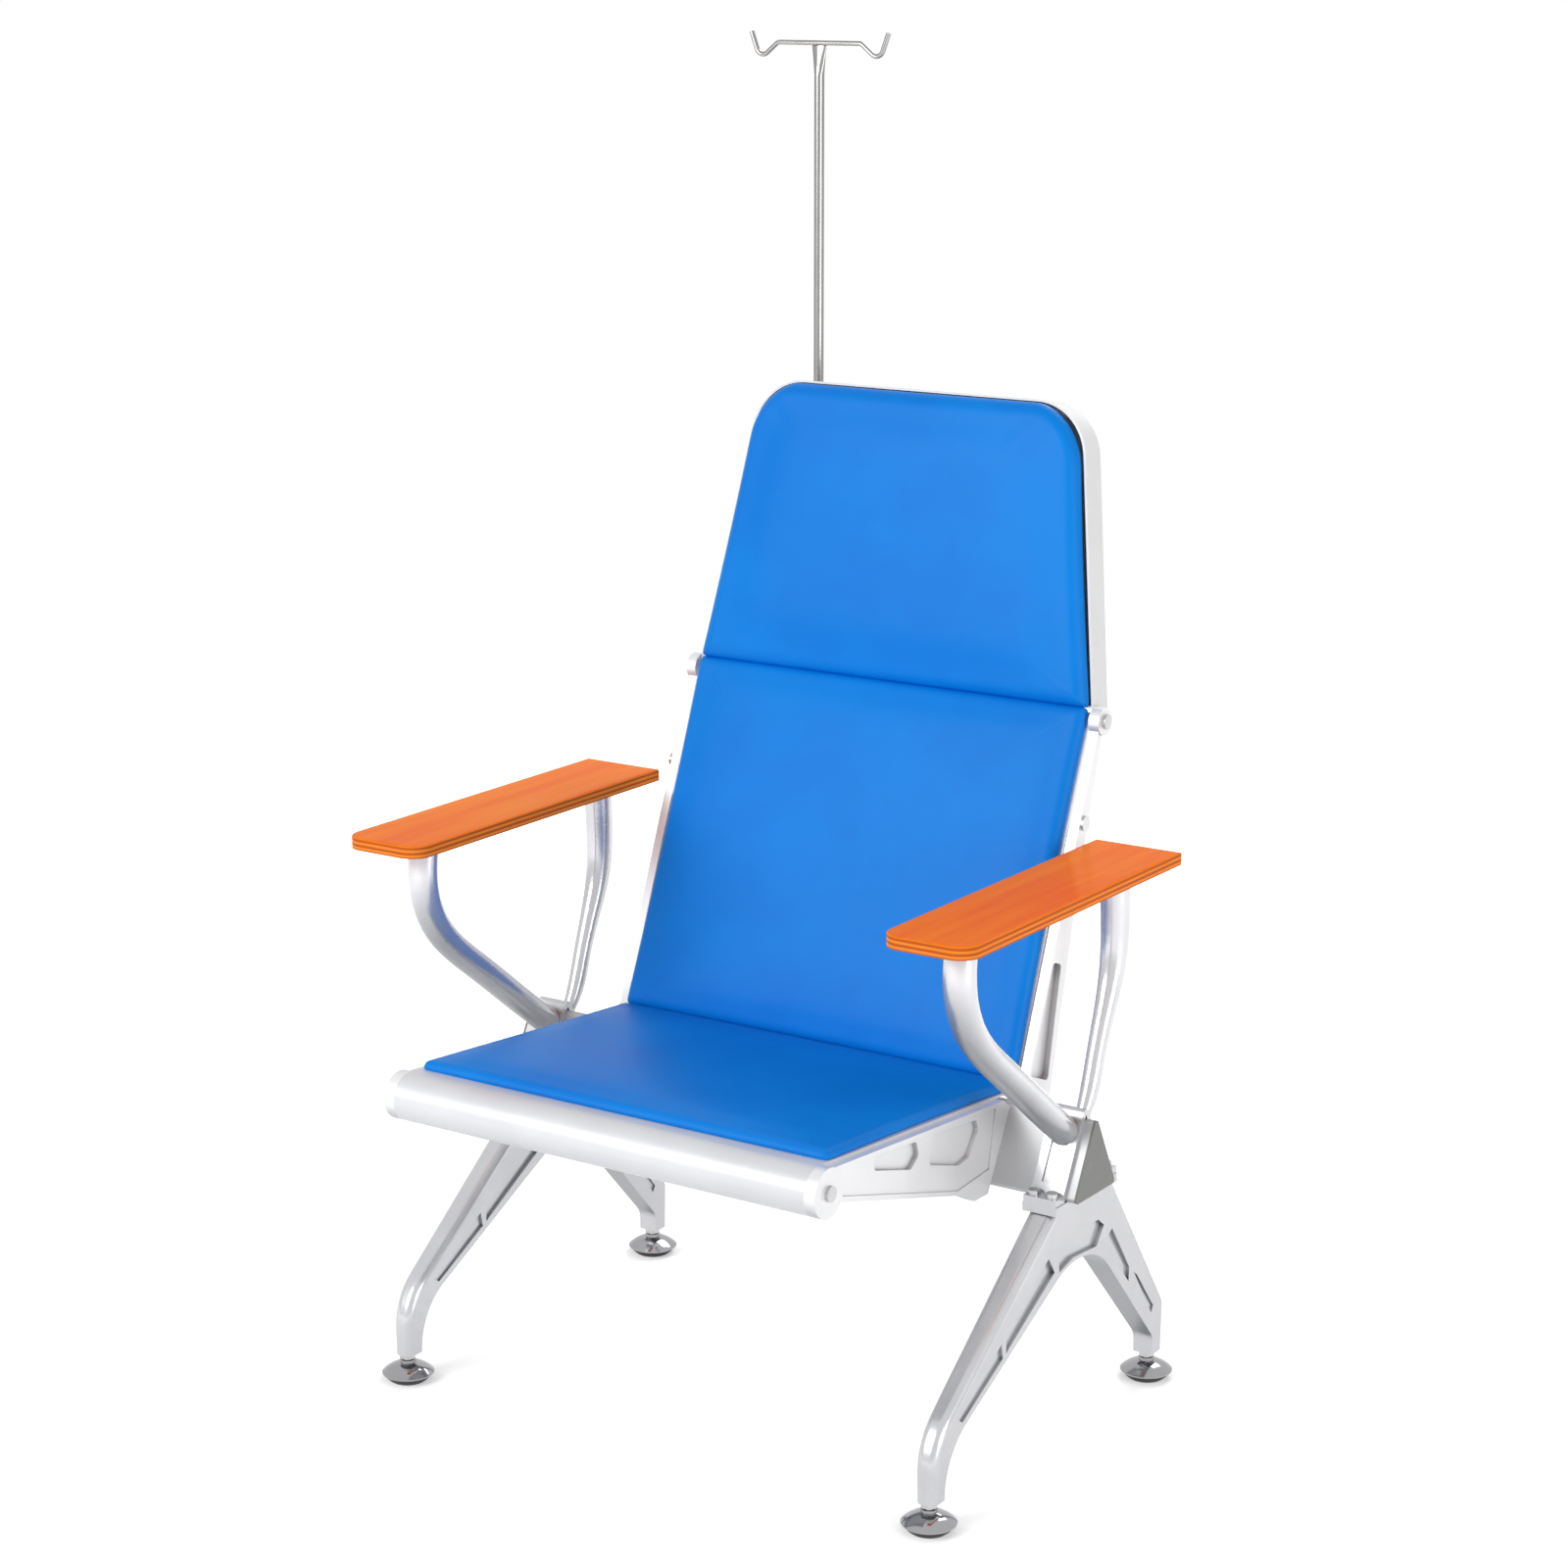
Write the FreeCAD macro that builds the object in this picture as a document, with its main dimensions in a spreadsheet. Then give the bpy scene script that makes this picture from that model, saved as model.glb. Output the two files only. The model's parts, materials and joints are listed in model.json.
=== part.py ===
"""Single infusion chair on a triangular beam, with a drip pole. Millimetres, +Z up, front at -Y."""
import FreeCAD, Part
import math
import os
import Sketcher

Vector = FreeCAD.Vector
doc = FreeCAD.newDocument("infusion_chair")

# Driving dimensions

SIZES = {
    # Beam and its caps
    "beam_length": 764.0, "beam_overhang": 30.5, "leg_to_seat": 84.0, "beam_width": 90.0,
    "beam_rise": 88.0, "beam_wall": 3.0,
    "beam_corner": 4.0, "beam_bottom": 290.0, "beam_set_back": 25.0, "cap_plate": 3.0, "cap_plug": 12.0,
    # Cast legs
    "foot_front_reach": 261.0, "foot_rear_reach": 219.0, "leg_end": 32.0, "leg_top_width": 34.0,
    "leg_foot_width": 24.0, "leg_web": 22.0, "leg_front_depth": 23.0, "leg_rear_depth": 20.0,
    "leg_arch_radius": 100.0, "leg_knee_radius": 75.0, "leg_ankle_radius": 20.0,
    "leg_edge_radius": 10.0,
    "leg_flange": 10.0, "leg_flange_width": 42.0, "leg_flange_front": 64.0, "leg_flange_rear": 72.0,
    "leg_bolt": 8.0, "leg_bolt_head": 13.0, "leg_bolt_head_rise": 5.5, "leg_bolt_spread": 22.0,
    "leg_bolt_inset": 8.0, "leg_socket_depth": 42.0,
    # Levelling feet
    "foot_disc": 60.0, "foot_dome": 12.0, "foot_rim": 1.5, "foot_neck": 18.0, "foot_neck_top": 25.0,
    "foot_pad": 9.0, "foot_pad_lip": 1.0, "foot_sole": 40.0,
    "foot_stud": 10.0, "foot_stud_length": 44.0, "foot_nut": 17.0, "foot_nut_rise": 5.0,
    # Armrests
    "saddle_width": 40.0, "saddle_wall": 6.0, "saddle_lip": 8.0, "saddle_ridge": 2.0,
    "front_arm_width": 36.0, "front_arm_depth": 32.0, "rear_arm_width": 21.0, "rear_arm_head": 33.0,
    "rear_arm_flat": 1.0,
    "arm_pad_top": 644.5, "arm_pad_width": 106.0, "arm_pad_length": 454.0, "arm_pad_board": 14.0,
    "arm_pad_front": 285.5, "arm_pad_corner": 24.0, "arm_pad_edge": 2.0,
    "arm_stud": 8.0, "arm_stud_length": 22.0, "arm_stud_bite": 9.0,
    # Seat pan and its side castings
    "casting": 11.0, "casting_web": 4.0, "casting_ledge": 12.0, "casting_rim": 5.0,
    "casting_rim_rise": 1.6,
    "casting_ledge_rise": 5.0,
    "roll_diameter": 54.0, "roll_wall": 3.0, "seat_rear_drop": 25.5, "seat_rear_offset": 32.85,
    "roll_plug": 14.0,
    "seat_drop_share": 0.0757, "sheet": 2.5, "seat_pan_length": 404.0,
    "front_boss_proud": 2.0, "flange_plate": 6.0, "flange_width": 40.0, "flange_overhang": 7.0,
    "pocket_radius": 5.0, "neck_radius": 12.0,
    # Back panel and its side castings
    "top_tube": 16.0, "top_tube_bore": 8.2, "back_foot_rise": 1.424, "back_foot_offset": 39.687,
    "top_boss": 32.0, "back_lean_share": 0.394, "back_panel_length": 415.5,
    # Headrest
    "head_lean_share": 0.172, "head_base": 13.0, "head_length": 336.5, "head_front": 5.4,
    "head_side_clear": 1.5, "head_taper": 50.5, "head_corner": 68.0, "head_depth": 40.0,
    "head_back_edge": 6.0, "head_ear": 24.0, "head_ear_length": 122.0, "head_ear_rise": 14.0,
    # Upholstery
    "pad_edge": 9.6, "pad_side_draw": 3.0, "pad_roll": 6.0, "pad_gap": 1.2, "pad_inset": 2.5,
    "pad_side_clear": 1.5, "pad_top_clear": 4.0, "seat_pad_trim": 29.8, "seat_pad_start": 16.0,
    "seat_crown": 10.0,
    "back_pad_rise": 10.4,
    "back_crown": 10.0,
    "head_crown": 12.0, "board": 4.0, "board_inset": 14.0,
    # Screws of the castings
    "boss_screw": 8.0, "boss_screw_length": 24.0, "boss_head": 17.0, "boss_head_rise": 4.0,
    "side_screw_drop": 116.0,
    "beam_bolt": 8.0, "beam_bolt_grip": 14.0, "beam_bolt_head": 13.0, "beam_bolt_head_rise": 6.0,
    "beam_bolt_spread": 40.0,
    # Drip pole
    "pole": 12.0, "pole_wall": 1.2, "pole_foot_rise": 64.0, "pole_neck_rise": 693.0, "pole_inset": 86.5,
    "pole_set_back": 120.0,
    "pole_fan": 20.0, "pole_fan_thick": 5.0, "hook_wire": 6.0, "hook_bar_rise": 730.0,
    "hook_bar": 116.0,
    "hook_dip": 166.0, "hook_dip_depth": 20.0, "hook_span": 190.0, "hook_tip_rise": 12.0,
    "hook_bend": 9.0,
    "socket_tube": 18.0, "socket_foot_rise": 34.0, "socket_head_rise": 280.0, "socket_strap": 24.0,
    "socket_strap_plate": 4.0,
    "socket_low_rise": 76.0, "socket_high_rise": 246.0, "socket_foot": 46.0, "socket_screw": 5.0,
    "socket_screw_head": 9.0,
    "collar": 24.0, "collar_rise": 26.0, "collar_gap": 0.5, "knob": 26.0, "knob_rise": 14.0,
    "knob_stem": 6.0,
    "knob_stem_length": 16.0,
    # Fits
    "running_fit": 0.06, "screw_fit": 0.1, "seat_fit": 0.3, "overrun": 5.0,
}


class Dim:
    """A length that carries its value and the sheet expression it comes from."""

    def __init__(self, value, text):
        self.value = value
        self.text = text

    def join(self, sign, value, other):
        return Dim(value, f"({self.text} {sign} {other.text})")

    def __add__(self, other):
        other = dim(other)
        return self.join("+", self.value + other.value, other)

    def __sub__(self, other):
        other = dim(other)
        return self.join("-", self.value - other.value, other)

    def __rsub__(self, other):
        return dim(other) - self

    def __mul__(self, other):
        other = dim(other)
        return self.join("*", self.value * other.value, other)

    def __truediv__(self, other):
        other = dim(other)
        return self.join("/", self.value / other.value, other)

    def __neg__(self):
        return Dim(-self.value, f"(-{self.text})")

    __radd__ = __add__
    __rmul__ = __mul__


def dim(number):
    return number if isinstance(number, Dim) else Dim(float(number), repr(float(number)))


def root(length):
    return Dim(math.sqrt(length.value), f"sqrt({length.text})")


sheet = doc.addObject("Spreadsheet::Sheet", "Sizes")
for row, (alias, number) in enumerate(SIZES.items(), start=1):
    sheet.set(f"A{row}", alias)
    sheet.set(f"B{row}", str(number))
    sheet.setAlias(f"B{row}", alias)
doc.recompute()


class Sheet:
    """Reads a driving dimension from the sheet by its alias."""

    def __getattr__(self, alias):
        return Dim(float(getattr(sheet, alias)), f"Sizes.{alias}")


size = Sheet()
ZERO = dim(0)
NODES = {}


def node(label, feature):
    feature.Label = label
    NODES[label] = feature
    return feature


def bind(feature, **sizes):
    for name, length in sizes.items():
        length = dim(length)
        setattr(feature, name, length.value)
        feature.setExpression(name, length.text)
    return feature


def place(feature, x=ZERO, y=ZERO, z=ZERO, axis=None, angle=0.0, lean=None):
    """Place a feature by bound coordinates; lean is a bound tangent that turns it about -X."""
    turn = FreeCAD.Rotation(axis, angle) if axis else FreeCAD.Rotation()
    if lean:
        turn = FreeCAD.Rotation(Vector(-1, 0, 0), math.degrees(math.atan(lean.value)))
    base = Vector(dim(x).value, dim(y).value, dim(z).value)
    feature.Placement = FreeCAD.Placement(base, turn)
    for letter, length in (("x", x), ("y", y), ("z", z)):
        feature.setExpression(f".Placement.Base.{letter}", dim(length).text)
    if lean:
        feature.setExpression(".Placement.Rotation.Angle", f"atan({lean.text})")
    return feature


def new_body(name):
    return doc.addObject("PartDesign::Body", name)


def attach(body, sketch, plane, offset):
    support = next(f for f in body.Origin.OriginFeatures if f.Role == plane)
    sketch.AttachmentSupport = [(support, "")]
    sketch.MapMode = "FlatFace"
    sketch.AttachmentOffset = FreeCAD.Placement(Vector(0, 0, dim(offset).value), FreeCAD.Rotation())
    sketch.setExpression("AttachmentOffset.Base.z", dim(offset).text)


def outline(body, name, plane, points, offset=ZERO):
    """A closed sketch of straight edges whose corners are all bound to the sheet."""
    sketch = body.newObject("Sketcher::SketchObject", name)
    attach(body, sketch, plane, offset)
    corners = [(dim(u), dim(v)) for u, v in points]
    count = len(corners)
    spots = [Vector(u.value, v.value, 0) for u, v in corners]
    for i in range(count):
        sketch.addGeometry(Part.LineSegment(spots[i], spots[(i + 1) % count]), False)
    for i in range(count):
        sketch.addConstraint(Sketcher.Constraint("Coincident", i, 2, (i + 1) % count, 1))
    for i, (u, v) in enumerate(corners):
        for kind, length in (("DistanceX", u), ("DistanceY", v)):
            index = sketch.addConstraint(Sketcher.Constraint(kind, -1, 1, i, 1, length.value))
            sketch.setExpression(f"Constraints[{index}]", length.text)
    return sketch


def ring(body, name, plane, centre, diameter, offset=ZERO):
    """A circle sketch bound to the sheet."""
    sketch = body.newObject("Sketcher::SketchObject", name)
    attach(body, sketch, plane, offset)
    u, v = (dim(c) for c in centre)
    sketch.addGeometry(Part.Circle(Vector(u.value, v.value, 0), Vector(0, 0, 1), diameter.value / 2),
                       False)
    for kind, length in (("DistanceX", u), ("DistanceY", v)):
        index = sketch.addConstraint(Sketcher.Constraint(kind, -1, 1, 0, 3, length.value))
        sketch.setExpression(f"Constraints[{index}]", length.text)
    index = sketch.addConstraint(Sketcher.Constraint("Diameter", 0, diameter.value))
    sketch.setExpression(f"Constraints[{index}]", diameter.text)
    return sketch


def pad(body, name, sketch, length, midplane=False, reverse=False):
    feature = body.newObject("PartDesign::Pad", name)
    feature.Profile = sketch
    feature.Midplane = midplane
    feature.Reversed = reverse
    return bind(feature, Length=length)


def pocket(body, name, sketch, length, midplane=False, reverse=False):
    feature = body.newObject("PartDesign::Pocket", name)
    feature.Profile = sketch
    feature.Midplane = midplane
    feature.Reversed = reverse
    return bind(feature, Length=length)


def edge_names(shape, spots):
    """Names of the edges that pass through the given spots."""
    names = []
    for spot in spots:
        vertex = Part.Vertex(spot)
        gaps = [edge.distToShape(vertex)[0] for edge in shape.Edges]
        names.append(f"Edge{gaps.index(min(gaps)) + 1}")
    return sorted(set(names))


def fillet(body, name, radius, spots):
    """Round the edges of a body that pass through the given spots."""
    doc.recompute()
    base = body.Tip
    feature = body.newObject("PartDesign::Fillet", name)
    feature.Base = (base, edge_names(base.Shape, spots))
    return bind(feature, Radius=radius)


def spots_at(x, points):
    """Spots at one X on the corners of an outline in the YZ plane."""
    return [Vector(x, dim(y).value, dim(z).value) for y, z in points]


def mirror(name, source):
    feature = doc.addObject("Part::Mirroring", name)
    feature.Source = source
    feature.Normal = Vector(1, 0, 0)
    feature.Base = Vector(0, 0, 0)
    return feature


def boolean(kind, name, *pieces):
    """A Part cut (first minus second) or a fuse of several pieces."""
    feature = doc.addObject(f"Part::{kind}", name)
    if kind == "Cut" or kind == "Common":
        feature.Base, feature.Tool = pieces
    else:
        feature.Shapes = list(pieces)
    return feature


def cylinder(name, radius, height, **where):
    return place(bind(doc.addObject("Part::Cylinder", name), Radius=radius, Height=height), **where)


def box(name, length, width, height, **where):
    return place(bind(doc.addObject("Part::Box", name), Length=length, Width=width, Height=height),
                 **where)


def along_x(name, radius, start, length, y, z):
    """A cylinder along +X from a bound start."""
    return cylinder(name, radius, length, x=start, y=y, z=z, axis=Vector(0, 1, 0), angle=90.0)


# Places that several pieces share

LEG_X = size.beam_length / 2 - size.beam_overhang
BEAM_Y = size.beam_set_back
BEAM_TOP = size.beam_bottom + size.beam_rise
BEAM_FLANK = root(size.beam_width * size.beam_width / 4 + size.beam_rise * size.beam_rise)
FLANK_RUN = size.beam_width / 2 / BEAM_FLANK
FLANK_CLIMB = size.beam_rise / BEAM_FLANK
INNER_X = LEG_X - size.leg_to_seat
OUTER_X = INNER_X + size.casting
SEAT_STRETCH = root(size.seat_drop_share * size.seat_drop_share + 1)
BACK_STRETCH = root(size.back_lean_share * size.back_lean_share + 1)
HEAD_STRETCH = root(size.head_lean_share * size.head_lean_share + 1)
ROLL_Y = BEAM_Y + size.seat_rear_offset - size.seat_pan_length / SEAT_STRETCH
ROLL_Z = BEAM_TOP - size.seat_rear_drop + size.seat_pan_length * size.seat_drop_share / SEAT_STRETCH
ROLL_RADIUS = size.roll_diameter / 2
TOP_Y = BEAM_Y + size.back_foot_offset + size.back_panel_length * size.back_lean_share / BACK_STRETCH
TOP_Z = BEAM_TOP + size.back_foot_rise + size.back_panel_length / BACK_STRETCH
PAD_WIDTH = INNER_X * 2 - size.pad_side_clear * 2
PAD_TOP_WIDTH = INNER_X * 2 - size.pad_top_clear * 2
HEAD_WIDTH = INNER_X * 2 - size.head_side_clear * 2
HEAD_TOP_WIDTH = HEAD_WIDTH - size.head_taper * 2
POLE_X = size.pole_inset - INNER_X
POLE_Y = TOP_Y + size.pole_set_back
TUBE_RADIUS = size.top_tube / 2
PAD_UNDER = size.arm_pad_top - size.arm_pad_board


def flank(sign, z, off=ZERO):
    """Point of the beam's front (-1) or rear (+1) flank at a height, moved off it along its normal."""
    run = (BEAM_TOP - z) * FLANK_RUN / FLANK_CLIMB
    return (BEAM_Y + sign * (run + off * FLANK_CLIMB), z + off * FLANK_RUN)


def on_back(out, up):
    """Chair coordinates (Y, Z) of a point in the leaning frame of the back."""
    y = TOP_Y + (out + up * size.back_lean_share) / BACK_STRETCH
    z = TOP_Z + (up - out * size.back_lean_share) / BACK_STRETCH
    return (y, z)


def on_seat(back, up):
    """Chair coordinates (Y, Z) of a point in the sloping frame of the seat."""
    y = ROLL_Y + (back + up * size.seat_drop_share) / SEAT_STRETCH
    z = ROLL_Z + (up - back * size.seat_drop_share) / SEAT_STRETCH
    return (y, z)


SEAT_PLACE = dict(y=ROLL_Y, z=ROLL_Z, lean=size.seat_drop_share)
BACK_PLACE = dict(y=TOP_Y, z=TOP_Z, lean=size.back_lean_share)
HEAD_PLACE = dict(y=TOP_Y, z=TOP_Z, lean=size.head_lean_share)


# Beam and caps

def triangle(inset=ZERO):
    """The beam's triangle, moved inwards by an inset."""
    side = (size.beam_width / 2) - inset * (size.beam_width / 2 + BEAM_FLANK) / size.beam_rise
    top = BEAM_TOP - inset / FLANK_RUN
    low = size.beam_bottom + inset
    return [(BEAM_Y - side, low), (BEAM_Y + side, low), (BEAM_Y, top)]


def make_beam():
    body = new_body("beam_body")
    pad(body, "beam_pad", outline(body, "beam_outline", "YZ_Plane", triangle()), size.beam_length,
        midplane=True)
    fillet(body, "beam_corners", size.beam_corner, spots_at(0, triangle()))
    bore = outline(body, "beam_bore_outline", "YZ_Plane", triangle(size.beam_wall))
    pocket(body, "beam_bore", bore, size.beam_length + size.overrun, midplane=True)
    holes = beam_bolt_holes("beam", (-1, 1))
    node("beam", boolean("Cut", "beam_drilled", body, boolean("MultiFuse", "beam_holes", holes,
                                                              mirror("beam_holes_mirror", holes))))


def make_caps():
    body = new_body("cap_body")
    end = size.beam_length / 2
    plate = outline(body, "cap_outline", "YZ_Plane", triangle(), end)
    pad(body, "cap_pad", plate, size.cap_plate)
    fillet(body, "cap_corners", size.beam_corner,
           spots_at((end + size.cap_plate / 2).value, triangle()))
    plug = outline(body, "cap_plug_outline", "YZ_Plane", triangle(size.beam_wall + size.screw_fit), end)
    pad(body, "cap_plug_pad", plug, size.cap_plug, reverse=True)
    node("beam_cap_left", body)
    node("beam_cap_right", mirror("cap_mirror", body))


# Cast legs

ARCH_SHARES = (0.195, 0.815)
FRONT_TOP_SHARES = (-0.11, 0.985)
REAR_TOP_SHARES = (0.40, 0.985)
FRONT_KNEE_SHARE = 0.345
FRONT_HEEL_SHARE = 0.285
REAR_KNEE_SHARE = 0.318
REAR_HEEL_SHARE = 0.19
RECESS_SHARES = (
    ((-0.09, 0.835), (0.13, 0.85), (0.30, 0.84), (0.36, 0.805), (0.29, 0.735), (0.05, 0.748),
     (-0.075, 0.722)),
    ((-0.17, 0.805), (-0.115, 0.735), (-0.50, 0.533), (-0.50, 0.60)),
    ((-0.54, 0.58), (-0.525, 0.52), (-0.835, 0.372), (-0.865, 0.392)),
    ((0.45, 0.77), (0.655, 0.56), (0.655, 0.50), (0.365, 0.725)),
    ((0.71, 0.525), (0.745, 0.505), (0.945, 0.325), (0.925, 0.30)),
)
TAPER_CUT_SHARE = 3.0


def leg_spot(shares):
    """Outline point: a share of the front (-) or rear (+) reach, and a share of the beam's height."""
    along, up = shares
    reach = size.foot_front_reach if along < 0 else size.foot_rear_reach
    return (reach * along, size.beam_bottom * up)


def make_leg():
    front = -size.foot_front_reach
    rear = size.foot_rear_reach
    toe_front = front - size.leg_front_depth / 2
    toe_back = front + size.leg_front_depth / 2
    rear_front = rear - size.leg_rear_depth / 2
    rear_back = rear + size.leg_rear_depth / 2
    knee_front = (toe_front, size.beam_bottom * FRONT_KNEE_SHARE)
    heel_front = (toe_back, size.beam_bottom * FRONT_HEEL_SHARE)
    knee_rear = (rear_back, size.beam_bottom * REAR_KNEE_SHARE)
    heel_rear = (rear_front, size.beam_bottom * REAR_HEEL_SHARE)
    arch = leg_spot(ARCH_SHARES)
    top_front = leg_spot(FRONT_TOP_SHARES)
    top_rear = leg_spot(REAR_TOP_SHARES)
    sole = size.leg_end
    corners = [
        top_front, knee_front, (toe_front, sole), (toe_back, sole), heel_front, arch,
        heel_rear, (rear_front, sole), (rear_back, sole), knee_rear, top_rear,
    ]
    body = place(new_body("leg_body"), x=LEG_X)
    pad(body, "leg_pad", outline(body, "leg_outline", "YZ_Plane", corners), size.leg_top_width,
        midplane=True)
    fillet(body, "leg_arch", size.leg_arch_radius, spots_at(0, [arch]))
    fillet(body, "leg_knees", size.leg_knee_radius, spots_at(0, [knee_front, heel_front]))
    fillet(body, "leg_ankles", size.leg_ankle_radius, spots_at(0, [knee_rear, heel_rear]))
    taper_leg(body)
    round_leg(body, toe_front, top_front, knee_front)
    make_recesses(body)
    flange = [
        (BEAM_Y - size.leg_flange_front, size.beam_bottom - size.leg_flange),
        (BEAM_Y + size.leg_flange_rear, size.beam_bottom - size.leg_flange),
        (BEAM_Y + size.leg_flange_rear, size.beam_bottom),
        (BEAM_Y - size.leg_flange_front, size.beam_bottom),
    ]
    pad(body, "leg_flange", outline(body, "flange_outline", "YZ_Plane", flange), size.leg_flange_width,
        midplane=True)
    for name, y in (("front", front), ("rear", rear)):
        bore = size.foot_stud + size.running_fit * 2
        hole = ring(body, f"leg_{name}_hole", "XY_Plane", (0, y), bore, size.leg_end)
        pocket(body, f"leg_{name}_socket", hole, size.leg_socket_depth, reverse=True)
    for name, y in bolt_rows():
        for side in (-1, 1):
            spot = (size.leg_bolt_spread / 2 * side, y)
            hole = ring(body, f"leg_{name}_bolt_hole", "XY_Plane", spot, size.leg_bolt + size.screw_fit,
                        size.beam_bottom)
            pocket(body, f"leg_{name}_bolt_pocket", hole, size.leg_flange + size.overrun)
    node("leg_left", body)
    node("leg_right", mirror("leg_mirror", body))


def taper_leg(body):
    """Thin the casting from its top to its feet."""
    top = size.leg_top_width / 2
    foot = size.leg_foot_width / 2
    high = size.beam_bottom
    wide = top + size.overrun
    for side in (-1, 1):
        wedge = [(top * side, high), (foot * side, size.leg_end), (wide * side, size.leg_end),
                 (wide * side, high)]
        sketch = outline(body, "leg_taper_outline", "XZ_Plane", wedge)
        pocket(body, "leg_taper", sketch, size.foot_front_reach * TAPER_CUT_SHARE, midplane=True)


def round_leg(body, toe_front, top_front, knee_front):
    """Round the front spar's two long edges."""
    doc.recompute()
    middle = ((top_front[0] + knee_front[0]) / 2, (top_front[1] + knee_front[1]) / 2)
    share = (middle[1].value - size.leg_end.value) / (size.beam_bottom.value - size.leg_end.value)
    half = (size.leg_foot_width.value + (size.leg_top_width.value - size.leg_foot_width.value) * share) / 2
    spots = [Vector(side * half, middle[0].value, middle[1].value) for side in (-1, 1)]
    fillet(body, "leg_front_edges", size.leg_edge_radius, spots)


def make_recesses(body):
    """Shallow panels on both flanks, down to the web."""
    for side in (-1, 1):
        for index, shares in enumerate(RECESS_SHARES):
            corners = [leg_spot(pair) for pair in shares]
            sketch = outline(body, f"recess_outline_{index}", "YZ_Plane", corners,
                             size.leg_web / 2 * side)
            pocket(body, f"recess_{index}", sketch, size.leg_top_width, reverse=side > 0)


def bolt_rows():
    """Names and Y of the bolt rows that clamp the armrest saddle to the leg."""
    return (
        ("front", BEAM_Y - size.leg_flange_front + size.leg_bolt_inset),
        ("rear", BEAM_Y + size.leg_flange_rear - size.leg_bolt_inset),
    )


def make_leg_bolts():
    bolts = []
    seat = size.beam_bottom + size.saddle_lip
    for side in (-1, 1):
        for name, y in bolt_rows():
            for spread in (-1, 1):
                x = LEG_X * side + size.leg_bolt_spread / 2 * spread
                reach = size.saddle_lip + size.leg_flange
                shank = cylinder("leg_bolt_shank", size.leg_bolt / 2, reach, x=x, y=y,
                                 z=size.beam_bottom - size.leg_flange)
                head = cylinder("leg_bolt_head", size.leg_bolt_head / 2, size.leg_bolt_head_rise, x=x,
                                y=y, z=seat)
                bolts.append(boolean("MultiFuse", "leg_bolt", shank, head))
    node("leg_bolts", compound("leg_bolts_group", bolts))


def compound(name, pieces):
    feature = doc.addObject("Part::Compound", name)
    feature.Links = pieces
    return feature


# Levelling feet

def ball_slice(name, radius, centre, low, height, x, y):
    """Slice of a ball on a vertical axis, flat below and, where the ball runs past it, flat above."""
    ball = place(bind(doc.addObject("Part::Sphere", f"{name}_ball"), Radius=radius), x=x, y=y, z=centre)
    limit = cylinder(f"{name}_limit", radius + size.overrun, height, x=x, y=y, z=low)
    return boolean("Common", name, ball, limit)


def make_foot(label, x, y):
    """Chrome dome with its neck and stud, on a rubber lens."""
    disc = size.foot_disc / 2
    low = size.foot_pad + size.foot_rim
    high = size.foot_neck_top
    dome = (disc * disc + size.foot_dome * size.foot_dome) / (size.foot_dome * 2)
    pieces = [
        cylinder(f"{label}_rim", disc, size.foot_rim, x=x, y=y, z=size.foot_pad),
        ball_slice(f"{label}_dome", dome, low + size.foot_dome - dome, low, dome, x, y),
        cylinder(f"{label}_neck", size.foot_neck / 2, high - low, x=x, y=y, z=low),
        cylinder(f"{label}_stud", size.foot_stud / 2, size.foot_stud_length, x=x, y=y, z=high),
    ]
    node(label, boolean("MultiFuse", f"{label}_whole", *pieces))
    sole = size.foot_sole / 2
    rim = disc - size.foot_pad_lip
    centre = (rim * rim - sole * sole + size.foot_pad * size.foot_pad) / (size.foot_pad * 2)
    rubber = ball_slice(f"{label}_rubber", root(sole * sole + centre * centre), centre, ZERO,
                        size.foot_pad,
                        x, y)
    node(label.replace("foot", "foot_pad"), rubber)


def make_lock_nut(x, y):
    """Hexagon nut under a leg, round the stud of its foot."""
    low = size.leg_end - size.foot_nut_rise
    prism = doc.addObject("Part::Prism", "lock_nut_prism")
    prism.Polygon = 6
    place(bind(prism, Circumradius=size.foot_nut / root(dim(3)), Height=size.foot_nut_rise), x=x, y=y,
          z=low)
    bore = cylinder("lock_nut_bore", size.foot_stud / 2 + size.running_fit,
                    size.foot_nut_rise + size.overrun * 2, x=x, y=y,
                    z=low - size.overrun)
    return boolean("Cut", "lock_nut", prism, bore)


def make_feet():
    nuts = []
    for end, y in (("front", -size.foot_front_reach), ("rear", size.foot_rear_reach)):
        make_foot(f"foot_{end}_left", LEG_X, y)
        make_foot(f"foot_{end}_right", -LEG_X, y)
        nuts += [make_lock_nut(LEG_X, y), make_lock_nut(-LEG_X, y)]
    node("lock_nuts", compound("lock_nuts_group", nuts))


# Armrests

FRONT_ARM_SHARES = (
    (-1.03, 1.0), (-1.045, 0.91), (-1.035, 0.82), (-0.985, 0.73), (-0.87, 0.63), (-0.70, 0.535),
    (-0.43, 0.395), (-0.16, 0.255), (0.03, 0.155),
)
REAR_ARM_SHARES = (
    (0.385, 1.0), (0.405, 0.92), (0.412, 0.80), (0.395, 0.68), (0.33, 0.55), (0.248, 0.41),
    (0.165, 0.265),
    (0.10, 0.10),
)
REAR_ARM_GIRTH_SHARES = (0.85, 1.0, 0.95, 0.7, 0.25, 0.0, -0.2, -0.2)


def arm_line(shares):
    """Centre line of an arm: shares of the pad's length about the beam, and of the rise to it."""
    rise = PAD_UNDER - size.beam_bottom
    length = size.arm_pad_length / 2
    return [(BEAM_Y + length * along, size.beam_bottom + rise * up) for along, up in shares]


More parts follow.
